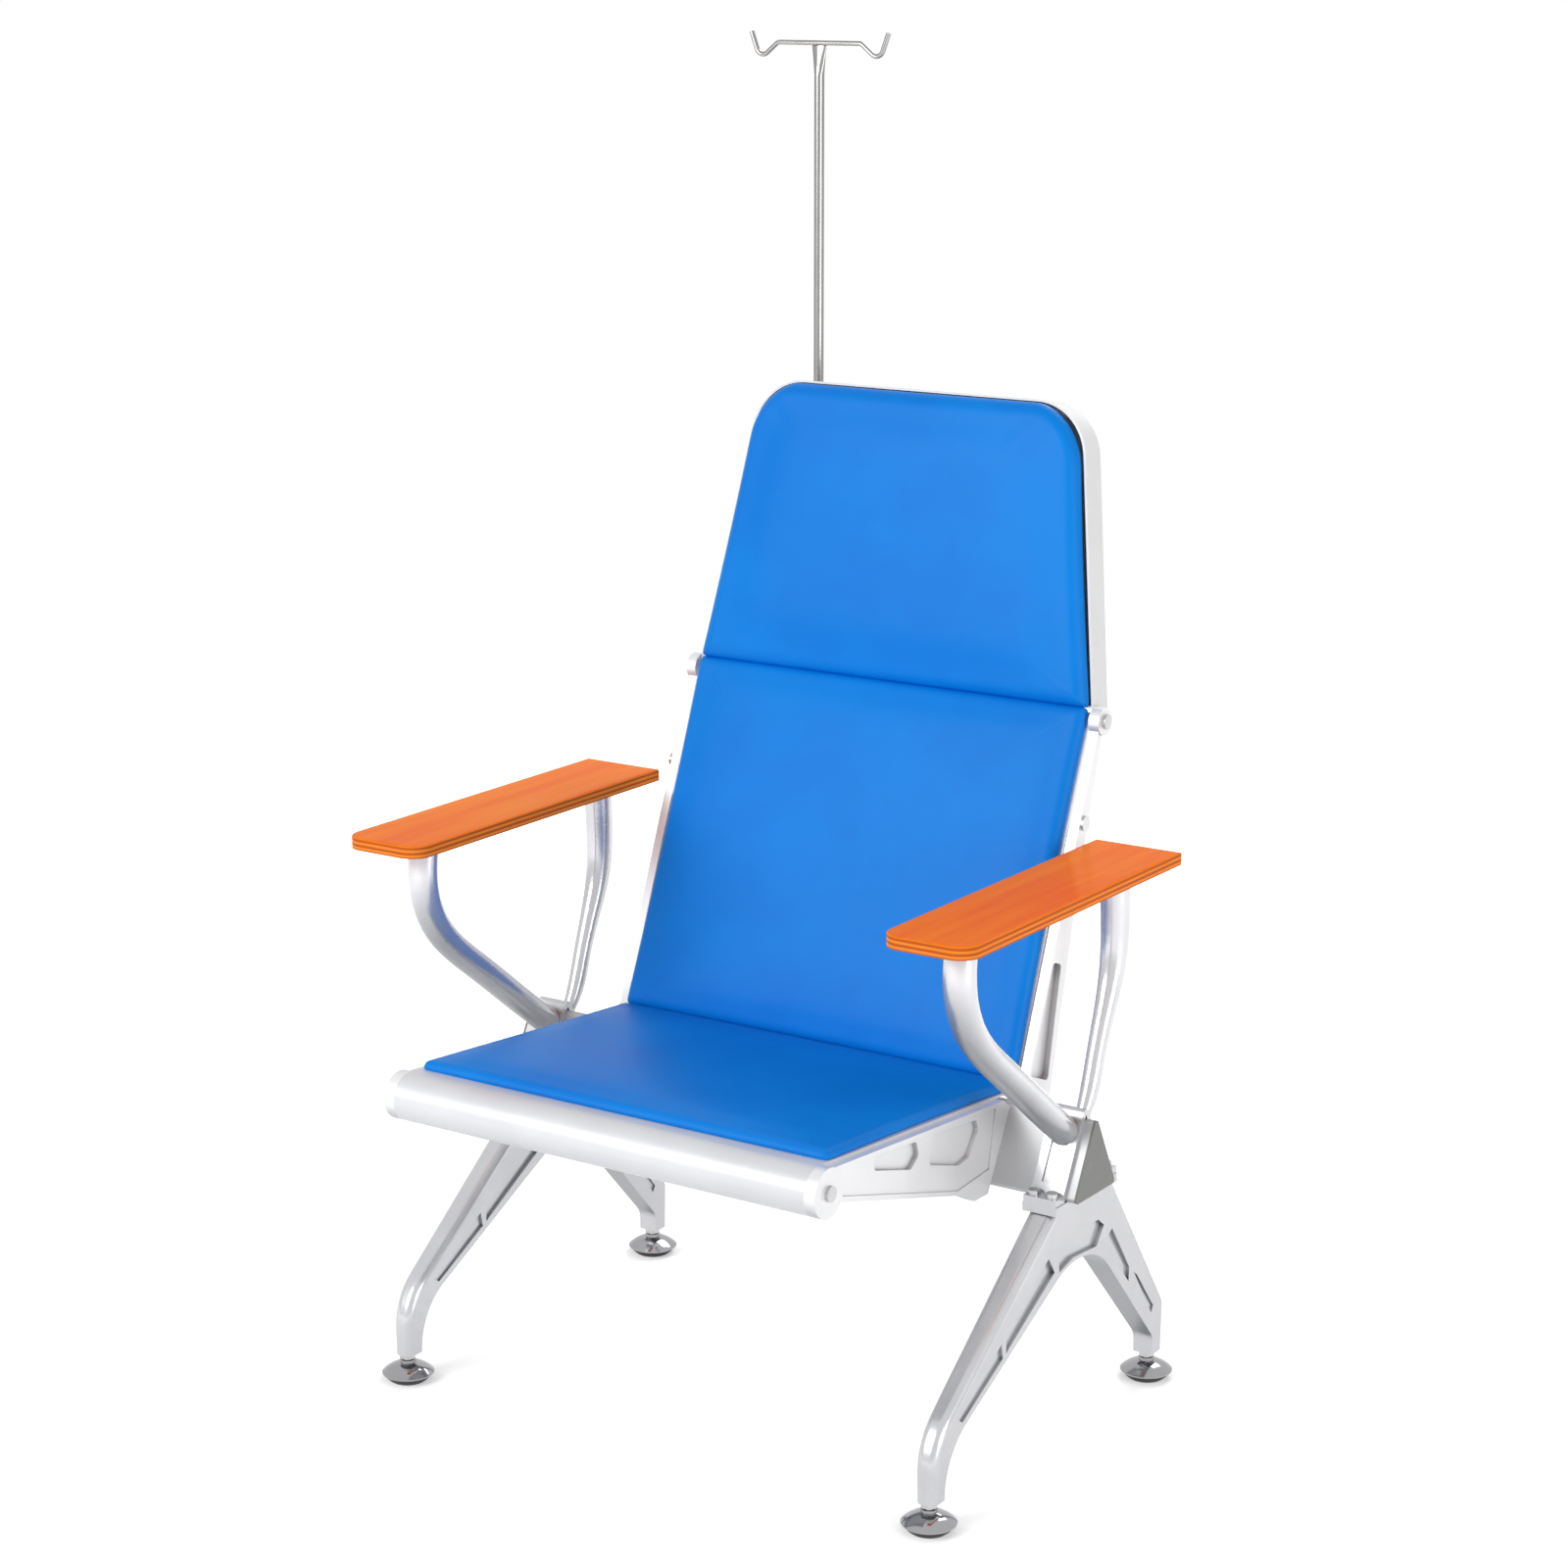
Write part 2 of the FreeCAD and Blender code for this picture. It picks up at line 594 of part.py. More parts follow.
def arm_loft(name, line, widths, depths):
    """A smooth bar through oval sections square to its centre line; its head is level under the pad."""
    sections = []
    last = len(line) - 1
    for index, (y, z) in enumerate(line):
        before = line[max(index - 1, 0)]
        after = line[min(index + 1, last)]
        run = after[0].value - before[0].value
        climb = after[1].value - before[1].value
        tilt = 0.0 if index == 0 else math.degrees(math.atan2(run, -climb))
        oval = doc.addObject("Part::Ellipse", f"{name}_section")
        bind(oval, MajorRadius=widths[index] / 2, MinorRadius=depths[index] / 2)
        sections.append(place(oval, x=LEG_X, y=y, z=z, axis=Vector(1, 0, 0), angle=tilt))
    feature = doc.addObject("Part::Loft", name)
    feature.Sections = sections
    feature.Solid = True
    feature.Ruled = False
    return feature


def make_arm_frame():
    lip = size.beam_bottom + size.saddle_lip
    front_row = BEAM_Y - size.leg_flange_front
    rear_row = BEAM_Y + size.leg_flange_rear
    crest = BEAM_TOP + size.saddle_wall / FLANK_RUN
    shell = [
        (front_row, size.beam_bottom), (rear_row, size.beam_bottom), (rear_row, lip),
        flank_outer(1, lip), (BEAM_Y, crest), flank_outer(-1, lip), (front_row, lip),
    ]
    body = place(new_body("saddle_body"), x=LEG_X)
    pad(body, "saddle_pad", outline(body, "saddle_outline", "YZ_Plane", shell), size.saddle_width,
        midplane=True)
    fillet(body, "saddle_crest", size.saddle_wall, spots_at(0, [(BEAM_Y, crest)]))
    channel = [
        flank(-1, lip + size.saddle_lip, size.saddle_wall - size.saddle_ridge),
        flank(-1, lip + size.saddle_lip, size.saddle_wall + size.overrun),
        flank(-1, BEAM_TOP - size.saddle_lip, size.saddle_wall + size.overrun),
        flank(-1, BEAM_TOP - size.saddle_lip, size.saddle_wall - size.saddle_ridge),
    ]
    sketch = outline(body, "saddle_channel_outline", "YZ_Plane", channel)
    pocket(body, "saddle_channel", sketch, size.saddle_width / 2, midplane=True)
    for name, y in bolt_rows():
        for side in (-1, 1):
            spot = (size.leg_bolt_spread / 2 * side, y)
            hole = ring(body, f"saddle_{name}_hole", "XY_Plane", spot, size.leg_bolt + size.screw_fit,
                        lip)
            pocket(body, f"saddle_{name}_pocket", hole, size.saddle_lip + size.overrun)
    front = arm_line(FRONT_ARM_SHARES)
    rear = arm_line(REAR_ARM_SHARES)
    wide = [size.front_arm_width] * len(front)
    deep = [size.front_arm_depth] * len(front)
    growth = size.rear_arm_head - size.rear_arm_width
    girth = [size.rear_arm_width + growth * share for share in REAR_ARM_GIRTH_SHARES]
    front_bar = arm_loft("front_arm", front, wide, deep)
    rear_bar = arm_loft("rear_arm", rear, [g + size.rear_arm_flat for g in girth], girth)
    solid = boolean("MultiFuse", "arm_solid", body, front_bar, rear_bar)
    space = new_body("beam_space")
    pad(space, "beam_space_pad", outline(space, "beam_space_outline", "YZ_Plane", triangle()),
        LEG_X * 2 * 2,
        midplane=True)
    clamped = boolean("Cut", "arm_clamp", solid, space)
    studs = [stud_hole("arm", line[0][0], PAD_UNDER - size.arm_stud_length) for line in (front, rear)]
    drilled = boolean("Cut", "arm_drilled", clamped, boolean("MultiFuse", "arm_stud_holes", *studs))
    node("arm_frame_left", drilled)
    node("arm_frame_right", mirror("arm_frame_mirror", drilled))
    return front[0][0], rear[0][0]


def flank_outer(sign, z):
    """Point on the saddle's outer face at a height."""
    y, base = flank(sign, z)
    return (y + sign * size.saddle_wall / FLANK_CLIMB, base)


def stud_hole(name, y, z):
    length = size.arm_stud_length + size.arm_stud_bite
    return cylinder(f"{name}_stud_hole", size.arm_stud / 2 + size.screw_fit / 2, length, x=LEG_X, y=y,
                    z=z)


def make_arm_pads(stud_rows):
    inner = LEG_X - size.arm_pad_width / 2
    outer = LEG_X + size.arm_pad_width / 2
    front = -size.arm_pad_front
    rear = front + size.arm_pad_length
    corners = [(inner, front), (outer, front), (outer, rear), (inner, rear)]
    body = new_body("arm_pad_body")
    pad(body, "arm_pad_board", outline(body, "arm_pad_outline", "XY_Plane", corners, PAD_UNDER),
        size.arm_pad_board)
    middle = (PAD_UNDER + size.arm_pad_board / 2).value
    fillet(body, "arm_pad_corners", size.arm_pad_corner,
           [Vector(x.value, y.value, middle) for x, y in corners[:2]])
    top = size.arm_pad_top.value
    fillet(body, "arm_pad_edges", size.arm_pad_edge,
           [Vector(LEG_X.value, front.value, top), Vector(LEG_X.value, rear.value, top)])
    for y in stud_rows:
        hole = ring(body, "arm_pad_hole", "XY_Plane", (LEG_X, y), size.arm_stud + size.screw_fit,
                    PAD_UNDER)
        pocket(body, "arm_pad_stud", hole, size.arm_stud_bite, reverse=True)
    node("arm_pad_left", body)
    node("arm_pad_right", mirror("arm_pad_mirror", body))
    studs = []
    for side in (-1, 1):
        for y in stud_rows:
            length = size.arm_stud_length + size.arm_stud_bite
            studs.append(cylinder("arm_stud", size.arm_stud / 2, length, x=LEG_X * side, y=y,
                                  z=PAD_UNDER - size.arm_stud_length))
    node("arm_pad_studs", compound("arm_studs_group", studs))


# Seat and back castings

SEAT_ARM_END_SHARE = 0.87
SEAT_PANEL_SHARE = 0.83
SEAT_LEDGE_SHARES = (0.1, 0.84)
SEAT_HEEL_SHARE = 0.72
SEAT_WAIST_SHARES = (1.6, 2.5)
SEAT_NECK_SHARES = (0.8, 0.62)
SEAT_POCKET_SHARES = (
    ((0.255, 0.08), (0.49, 0.10), (0.505, 0.30), (0.46, 0.46), (0.255, 0.27)),
    ((0.59, 0.10), (0.84, 0.13), (0.855, 0.28), (0.80, 0.62), (0.74, 0.68), (0.565, 0.50)),
)


def make_seat_arm():
    low = size.beam_bottom - size.flange_overhang
    top_line = [on_seat(ZERO, ROLL_RADIUS - size.sheet),
                on_seat(size.seat_pan_length * SEAT_ARM_END_SHARE, ROLL_RADIUS - size.sheet)]
    face_top = flank(-1, BEAM_TOP - size.flange_overhang)
    face_low = flank(-1, low)
    heel = (face_low[0] - size.flange_width * SEAT_HEEL_SHARE, low)
    waist = (face_low[0] - size.flange_width * SEAT_WAIST_SHARES[0],
             low + size.flange_overhang * SEAT_WAIST_SHARES[1])
    neck = (ROLL_Y + ROLL_RADIUS * SEAT_NECK_SHARES[0], ROLL_Z - ROLL_RADIUS * SEAT_NECK_SHARES[1])
    corners = [top_line[0], (ROLL_Y, ROLL_Z), neck, waist, heel, face_low, face_top, top_line[1]]
    body = new_body("seat_arm_body")
    pad(body, "seat_arm_pad", outline(body, "seat_arm_outline", "YZ_Plane", corners, INNER_X),
        size.casting)
    fillet(body, "seat_arm_waist", size.neck_radius,
           spots_at((INNER_X + size.casting / 2).value, [waist]))
    boss = ring(body, "seat_boss_outline", "YZ_Plane", (ROLL_Y, ROLL_Z), size.roll_diameter, INNER_X)
    pad(body, "seat_boss", boss, size.casting + size.front_boss_proud)
    rim = size.casting_rim
    under_top = ROLL_RADIUS - size.sheet - rim
    panel = [
        on_seat(size.roll_diameter, under_top), on_seat(size.seat_pan_length * SEAT_PANEL_SHARE, under_top),
        flank(-1, waist[1] + rim, size.flange_plate + rim), (waist[0], waist[1] + rim),
        (neck[0] + rim, neck[1] + rim),
    ]
    sketch = outline(body, "seat_panel_outline", "YZ_Plane", panel,
                     INNER_X + size.casting - size.casting_rim_rise)
    pocket(body, "seat_panel", sketch, size.casting, reverse=True)
    for index, shares in enumerate(SEAT_POCKET_SHARES):
        spots = [seat_spot(pair, top_line, waist) for pair in shares]
        sketch = outline(body, f"seat_pocket_outline_{index}", "YZ_Plane", spots,
                         INNER_X + size.casting_web)
        pocket(body, f"seat_pocket_{index}", sketch, size.casting, reverse=True)
        deep = (INNER_X + size.casting_web + size.pocket_radius / 2).value
        fillet(body, f"seat_pocket_corners_{index}", size.pocket_radius, spots_at(deep, spots))
    ledge_top = ROLL_RADIUS - size.sheet
    ledge_start, ledge_end = (size.seat_pan_length * share for share in SEAT_LEDGE_SHARES)
    ledge = [
        on_seat(ledge_start, ledge_top), on_seat(ledge_end, ledge_top),
        on_seat(ledge_end, ledge_top - size.casting_ledge_rise),
        on_seat(ledge_start, ledge_top - size.casting_ledge_rise),
    ]
    pad(body, "seat_ledge", outline(body, "seat_ledge_outline", "YZ_Plane", ledge, INNER_X),
        size.casting_ledge, reverse=True)
    make_flange(body, "seat", -1, low, BEAM_TOP - size.flange_overhang)
    drill(body, "seat_screw", (ROLL_Y, ROLL_Z))
    bolted = boolean("Cut", "seat_arm_bolted", body, beam_bolt_holes("seat_arm", (-1,)))
    node("seat_arm_left", bolted)
    node("seat_arm_right", mirror("seat_arm_mirror", bolted))


def seat_spot(shares, top_line, waist):
    """Point of the seat casting: share of its length, and share of its depth below the top edge."""
    along, down = shares
    length = size.seat_pan_length * SEAT_ARM_END_SHARE
    y, z = on_seat(length * along, ROLL_RADIUS - size.sheet)
    return (y, z - (top_line[1][1] - waist[1]) * down)


def make_flange(body, name, sign, low, high):
    """Plate on the beam's flank that reaches towards the middle of the chair for its bolts."""
    inner = INNER_X - size.flange_width
    plate = [flank(sign, low), flank(sign, high), flank(sign, high, size.flange_plate),
             flank(sign, low, size.flange_plate)]
    pad(body, f"{name}_flange", outline(body, f"{name}_flange_outline", "YZ_Plane", plate, inner),
        size.flange_width + size.casting)


def drill(body, name, spot):
    hole = ring(body, f"{name}_hole", "YZ_Plane", spot, size.boss_screw + size.screw_fit,
                INNER_X - size.overrun)
    pocket(body, f"{name}_pocket", hole, size.casting + size.overrun * 3, reverse=True)


BACK_HEEL_SHARE = 1.25
BACK_SHOULDER_SHARES = (0.52, 0.5)
BACK_POCKET_SHARES = (0.66, 0.97)
BACK_POCKET_DEPTH_SHARES = (0.38, 0.95)
BACK_LEDGE_SHARES = (0.38, 0.96)
TOE_SHARE = 2.0


def side_screw_spot():
    return on_back(ZERO, -size.side_screw_drop)


def make_back_arm():
    front_top = on_back(-TUBE_RADIUS, ZERO)
    front_low = on_back(-TUBE_RADIUS, -size.back_panel_length)
    face_top = flank(1, BEAM_TOP - size.flange_overhang)
    face_low = flank(1, size.beam_bottom + size.flange_overhang)
    toe = (face_low[0] + size.flange_plate * TOE_SHARE, face_low[1])
    heel = on_back(size.flange_width * BACK_HEEL_SHARE, -size.back_panel_length)
    shoulder = on_back(size.flange_width * BACK_SHOULDER_SHARES[0],
                       -size.back_panel_length * BACK_SHOULDER_SHARES[1])
    neck = on_back(TUBE_RADIUS / 2, -size.top_boss)
    corners = [front_top, front_low, face_top, face_low, toe, heel, shoulder, neck, on_back(ZERO, ZERO)]
    body = new_body("back_arm_body")
    pad(body, "back_arm_pad", outline(body, "back_arm_outline", "YZ_Plane", corners, INNER_X),
        size.casting)
    middle = (INNER_X + size.casting / 2).value
    fillet(body, "back_arm_heel", size.neck_radius, spots_at(middle, [heel, shoulder]))
    boss = ring(body, "back_boss_outline", "YZ_Plane", on_back(ZERO, ZERO), size.top_boss, INNER_X)
    pad(body, "back_boss", boss, size.casting + size.front_boss_proud)
    rim = -TUBE_RADIUS + size.pocket_radius
    high, low = (-size.back_panel_length * share for share in BACK_POCKET_SHARES)
    shallow, wide = (size.flange_width * share for share in BACK_POCKET_DEPTH_SHARES)
    spots = [on_back(rim, high), on_back(rim, low), on_back(wide, low), on_back(shallow, high)]
    sketch = outline(body, "back_pocket_outline", "YZ_Plane", spots, INNER_X + size.casting_web)
    pocket(body, "back_pocket", sketch, size.casting, reverse=True)
    deep = (INNER_X + size.casting_web + size.pocket_radius / 2).value
    fillet(body, "back_pocket_corners", size.pocket_radius, spots_at(deep, spots))
    behind = -TUBE_RADIUS + size.sheet
    ledge_top, ledge_low = (-size.back_panel_length * share for share in BACK_LEDGE_SHARES)
    ledge = [
        on_back(behind, ledge_top), on_back(behind, ledge_low),
        on_back(behind + size.casting_ledge_rise, ledge_low),
        on_back(behind + size.casting_ledge_rise, ledge_top),
    ]
    pad(body, "back_ledge", outline(body, "back_ledge_outline", "YZ_Plane", ledge, INNER_X),
        size.casting_ledge, reverse=True)
    make_flange(body, "back", 1, size.beam_bottom + size.flange_overhang,
                BEAM_TOP - size.flange_overhang)
    drill(body, "back_screw", on_back(ZERO, ZERO))
    drill(body, "side_screw", side_screw_spot())
    bolted = boolean("Cut", "back_arm_bolted", body, beam_bolt_holes("back_arm", (1,)))
    node("back_arm_left", bolted)
    node("back_arm_right", mirror("back_arm_mirror", bolted))


def make_screws():
    """Screws through the bosses of the castings into the seat roll, the top tube and the head ears."""
    boss = OUTER_X + size.front_boss_proud
    reach = size.boss_screw_length
    rows = (
        ("front", boss, (ROLL_Y, ROLL_Z), reach), ("top", boss, on_back(ZERO, ZERO), reach),
        ("side", OUTER_X, side_screw_spot(), size.casting + size.sheet),
    )
    screws = []
    for name, face, (y, z), length in rows:
        shank = along_x(f"{name}_screw_shank", size.boss_screw / 2, face - length, length, y, z)
        head = along_x(f"{name}_screw_head", size.boss_head / 2, face, size.boss_head_rise, y, z)
        screw = boolean("MultiFuse", f"{name}_screw", shank, head)
        screws += [screw, mirror(f"{name}_screw_mirror", screw)]
    node("casting_screws", compound("casting_screws_group", screws))


def on_bolt_axis(name, sign, row, radius, start, length):
    """A cylinder square to the beam's flank, on the axis of one flange bolt, from a start off the flank."""
    middle = size.beam_bottom + size.beam_rise / 2 + size.beam_bolt_spread / 2 * row
    y, z = flank(sign, middle, start)
    tilt = math.degrees(math.atan2(-sign * FLANK_CLIMB.value, FLANK_RUN.value))
    return cylinder(name, radius, length, x=INNER_X - size.flange_width / 2, y=y, z=z,
                    axis=Vector(1, 0, 0), angle=tilt)


def beam_bolt_holes(name, signs):
    """Clearance holes of the flange bolts on the left side."""
    radius = size.beam_bolt / 2 + size.screw_fit / 2
    start = -size.beam_wall - size.overrun
    length = size.flange_plate + size.beam_wall + size.overrun * 2
    holes = [on_bolt_axis(f"{name}_hole", sign, row, radius, start,
                          length) for sign in signs for row in (-1, 1)]
    return boolean("MultiFuse", f"{name}_bolt_holes", *holes)


def make_beam_bolts():
    bolts = []
    for name, sign in (("seat", -1), ("back", 1)):
        for row in (-1, 1):
            start = size.flange_plate - size.beam_bolt_grip
            shank = on_bolt_axis(f"{name}_bolt_shank", sign, row, size.beam_bolt / 2, start,
                                 size.beam_bolt_grip)
            head = on_bolt_axis(f"{name}_bolt_head", sign, row, size.beam_bolt_head / 2,
                                size.flange_plate, size.beam_bolt_head_rise)
            bolt = boolean("MultiFuse", f"{name}_beam_bolt", shank, head)
            bolts += [bolt, mirror(f"{name}_beam_bolt_mirror", bolt)]
    node("beam_bolts", compound("beam_bolts_group", bolts))


# Seat pan and back panel

def make_seat_pan():
    body = place(new_body("seat_pan_body"), **SEAT_PLACE)
    top = ROLL_RADIUS
    end = size.seat_pan_length
    sheet_lines = [(0, top - size.sheet), (end, top - size.sheet), (end, top), (0, top)]
    pad(body, "seat_roll", ring(body, "seat_roll_outline", "YZ_Plane", (0, 0), size.roll_diameter),
        INNER_X * 2, midplane=True)
    bore = ring(body, "seat_bore_outline", "YZ_Plane", (0, 0), size.roll_diameter - size.roll_wall * 2)
    pocket(body, "seat_bore", bore, INNER_X * 2 + size.overrun, midplane=True)
    pad(body, "seat_sheet", outline(body, "seat_sheet_outline", "YZ_Plane", sheet_lines),
        INNER_X * 2, midplane=True)
    node("seat_pan", body)
    plugs = []
    for side in (-1, 1):
        start = INNER_X - size.roll_plug if side > 0 else -INNER_X
        disc = along_x("roll_plug", ROLL_RADIUS - size.roll_wall, start, size.roll_plug, ROLL_Y, ROLL_Z)
        hole = along_x("roll_plug_hole", size.boss_screw / 2 + size.screw_fit / 2, start - size.overrun,
                       size.roll_plug + size.overrun * 2, ROLL_Y, ROLL_Z)
        plugs.append(boolean("Cut", "roll_plug_drilled", disc, hole))
    node("roll_plugs", compound("roll_plugs_group", plugs))


def make_back_panel():
    body = place(new_body("back_panel_body"), **BACK_PLACE)
    front = -TUBE_RADIUS
    low = -size.back_panel_length
    width = INNER_X * 2 - size.sheet * 2
    sheet_lines = [(front, 0), (front, low), (front + size.sheet, low), (front + size.sheet, 0)]
    pad(body, "back_tube", ring(body, "back_tube_outline", "YZ_Plane", (0, 0), size.top_tube), width,
        midplane=True)
    pad(body, "back_sheet", outline(body, "back_sheet_outline", "YZ_Plane", sheet_lines), width,
        midplane=True)
    bore = ring(body, "back_bore_outline", "YZ_Plane", (0, 0), size.top_tube_bore)
    pocket(body, "back_bore", bore, width + size.overrun, midplane=True)
    node("back_panel", body)


# Headrest shell

def head_outline(inset=ZERO):
    """Trapezoid of the headrest, moved inwards by an inset."""
    low = HEAD_WIDTH / 2 - inset
    high = HEAD_TOP_WIDTH / 2 - inset
    bottom = size.head_base + inset
    top = size.head_base + size.head_length - inset
    return [(-low, bottom), (low, bottom), (high, top), (-high, top)]


def head_block(name, inset, front, depth):
    """A solid of the headrest's outline with its two upper corners rounded."""
    body = place(new_body(f"{name}_body"), **HEAD_PLACE)
    corners = head_outline(inset)
    pad(body, f"{name}_pad", outline(body, f"{name}_outline", "XZ_Plane", corners, -front), depth,
        reverse=True)
    middle = (front + depth / 2).value
    fillet(body, f"{name}_corners", size.head_corner - inset,
           [Vector(x.value, middle, z.value) for x, z in corners[2:]])
    return body


def make_head_shell():
    front = -size.head_front
    outer = head_block("head_outer", ZERO, front, size.head_depth)
    back = (front + size.head_depth).value
    fillet(outer, "head_back_edges", size.head_back_edge,
           [Vector(0, back, (size.head_base + size.head_length).value),
            Vector(0, back, size.head_base.value)])
    inner = head_block("head_inner", size.sheet, front - size.overrun,
                       size.head_depth + size.overrun - size.sheet)
    tray = boolean("Cut", "head_tray", outer, inner)
    ears = []
    for side in (-1, 1):
        x = INNER_X - size.sheet if side > 0 else -INNER_X
        ear = box("head_ear", size.sheet, size.head_ear, size.head_ear_length + size.head_ear_rise,
                  lean=size.back_lean_share, x=x,
                  y=on_back(-TUBE_RADIUS, -size.head_ear_length)[0],
                  z=on_back(-TUBE_RADIUS, -size.head_ear_length)[1])
        ears.append(ear)
    whole = boolean("MultiFuse", "head_whole", tray, *ears)
    holes = []
    for y, z in (on_back(ZERO, ZERO), side_screw_spot()):
        holes.append(along_x("ear_hole", size.boss_screw / 2 + size.screw_fit / 2,
                             -INNER_X - size.overrun,
                             INNER_X * 2 + size.overrun * 2, y, z))
    node("head_shell", boolean("Cut", "head_drilled", whole, boolean("MultiFuse", "ear_holes", *holes)))


# Upholstery

STATION_SHARES = (0.0, 0.12, 0.5, 0.88, 1.0)
CROWN_SHARES = (0.0, 0.62, 1.0, 0.62, 0.0)
DRAW_SHARES = (0.0, 0.5, 1.0, 0.5, 0.0)
ROLL_SHARES = (0.2, 0.7)
LEAST_CROWN_SHARE = 1 / 3


def pad_section(half, draw, crown, along):
    """One cross-section of a cushion: flat under, rolled sides and a crowned top."""
    side = half - draw
    edge = size.pad_edge.value
    roll = size.pad_roll.value
    spots = {
        "left": Vector(-side, along, 0), "right": Vector(side, along, 0),
        "left_top": Vector(-side + roll, along, edge), "right_top": Vector(side - roll, along, edge),
        "crest": Vector(0, along, edge + crown),
        "left_roll": Vector(-side + roll * ROLL_SHARES[0], along, edge * ROLL_SHARES[1]),
        "right_roll": Vector(side - roll * ROLL_SHARES[0], along, edge * ROLL_SHARES[1]),
    }
    edges = [
        Part.LineSegment(spots["left"], spots["right"]).toShape(),
        Part.Arc(spots["right"], spots["right_roll"], spots["right_top"]).toShape(),
        Part.Arc(spots["right_top"], spots["crest"], spots["left_top"]).toShape(),
        Part.Arc(spots["left_top"], spots["left_roll"], spots["left"]).toShape(),
    ]
    return Part.Wire(edges)


def cushion(name, start_width, end_width, length, crown):
    """A crowned cushion on the XY plane, running along +Y, with drawn-in sides."""
    wires = []
    for station, swell, draw in zip(STATION_SHARES, CROWN_SHARES, DRAW_SHARES):
        half = (start_width.value + (end_width.value - start_width.value) * station) / 2
        least = size.pad_side_draw.value * LEAST_CROWN_SHARE
        wires.append(pad_section(half, size.pad_side_draw.value * draw, crown.value * swell + least,
                                 length.value * station))
    feature = doc.addObject("Part::Feature", name)
    feature.Shape = Part.makeLoft(wires, True, False)
    return feature


def board(name, start_width, end_width, length, where):
    """Plywood board let into the underside of a cushion."""
    inset = size.board_inset
    width = (start_width if start_width.value < end_width.value else end_width) - inset * 2
    feature = box(name, width, length - inset * 2, size.board)
    feature.Placement = where.multiply(FreeCAD.Placement(Vector(-width.value / 2, inset.value, 0),
                                                         FreeCAD.Rotation()))
    for letter in ("x", "y", "z"):
        feature.setExpression(f".Placement.Base.{letter}", None)
    return feature


def laid(lean, y, z):
    """Placement of a cushion on the seat: its +Y runs to the rear."""
    return FreeCAD.Placement(Vector(0, y, z),
                             FreeCAD.Rotation(Vector(-1, 0, 0), math.degrees(math.atan(lean.value))))


def stood(lean, y, z):
    """Placement of a cushion on the back: its +Y runs up and its top faces the front."""
    upright = FreeCAD.Rotation(Vector(1, 0, 0), 90.0)
    tilt = FreeCAD.Rotation(Vector(-1, 0, 0), math.degrees(math.atan(lean.value)))
    return FreeCAD.Placement(Vector(0, y, z), tilt.multiply(upright))


def upholster(name, start_width, end_width, length, crown, where, trim=None):
    """A cushion with its board; trim is a solid that rounds the cushion's outline."""
    soft = cushion(f"{name}_soft", start_width, end_width, length, crown)
    soft.Placement = where
    if trim:
        soft = boolean("Common", f"{name}_trimmed", soft, trim)
    wood = board(f"{name}_board", start_width, end_width, length, where.copy())
    node(f"{name}_cushion", boolean("Cut", f"{name}_hollowed", soft, wood))
    node(f"{name}_board", wood)


def head_point(out, up):
    """Chair coordinates of a point in the leaning frame of the headrest."""
    y = TOP_Y + (out + up * size.head_lean_share) / HEAD_STRETCH
    z = TOP_Z + (up - out * size.head_lean_share) / HEAD_STRETCH
    return (y, z)


def make_upholstery():
    y, z = on_seat(size.seat_pad_start, ROLL_RADIUS)
    upholster("seat", PAD_WIDTH, PAD_WIDTH, size.seat_pan_length - size.seat_pad_trim, size.seat_crown,
              laid(size.seat_drop_share, y.value, z.value))
    y, z = on_back(-TUBE_RADIUS, -size.back_panel_length)
    upholster("back", PAD_WIDTH, PAD_TOP_WIDTH,
              size.back_panel_length + size.back_pad_rise,
              size.back_crown, stood(size.back_lean_share, y.value, z.value))
    inset = size.pad_inset
    trim = head_block("head_trim", inset,
                      -size.head_front - size.pad_edge - size.head_crown - size.overrun,
                      size.pad_edge + size.head_crown + size.overrun)
    y, z = head_point(-size.head_front, size.head_base + size.pad_gap)
    upholster("head", HEAD_WIDTH - inset * 2, HEAD_TOP_WIDTH - inset * 2,
              size.head_length - inset - size.pad_gap,
              size.head_crown, stood(size.head_lean_share, y.value, z.value), trim)


# Drip pole

def make_pole():
    x = POLE_X
    y = POLE_Y
    radius = size.pole / 2
    tube = cylinder("pole_tube", radius, size.pole_neck_rise - size.pole_foot_rise, x=x, y=y,
                    z=TOP_Z + size.pole_foot_rise)
    bore = cylinder("pole_bore", radius - size.pole_wall,
                    size.pole_neck_rise - size.pole_foot_rise - size.pole,
                    x=x, y=y,
                    z=TOP_Z + size.pole_foot_rise - size.overrun)
    round_end = place(bind(doc.addObject("Part::Circle", "fan_root"), Radius=radius), x=x, y=y,
                      z=TOP_Z + size.pole_neck_rise)
    flat_end = bind(doc.addObject("Part::Ellipse", "fan_tip"), MajorRadius=size.pole_fan / 2,
                    MinorRadius=size.pole_fan_thick / 2)
    place(flat_end, x=x, y=y, z=TOP_Z + size.hook_bar_rise - size.hook_wire / 2)
    fan = doc.addObject("Part::Loft", "pole_fan_loft")
    fan.Sections = [round_end, flat_end]
    fan.Solid = True
    hollow = boolean("Cut", "pole_hollow", tube, bore)
    node("iv_pole", boolean("MultiFuse", "pole_whole", hollow, fan))
    make_hook(x, y)


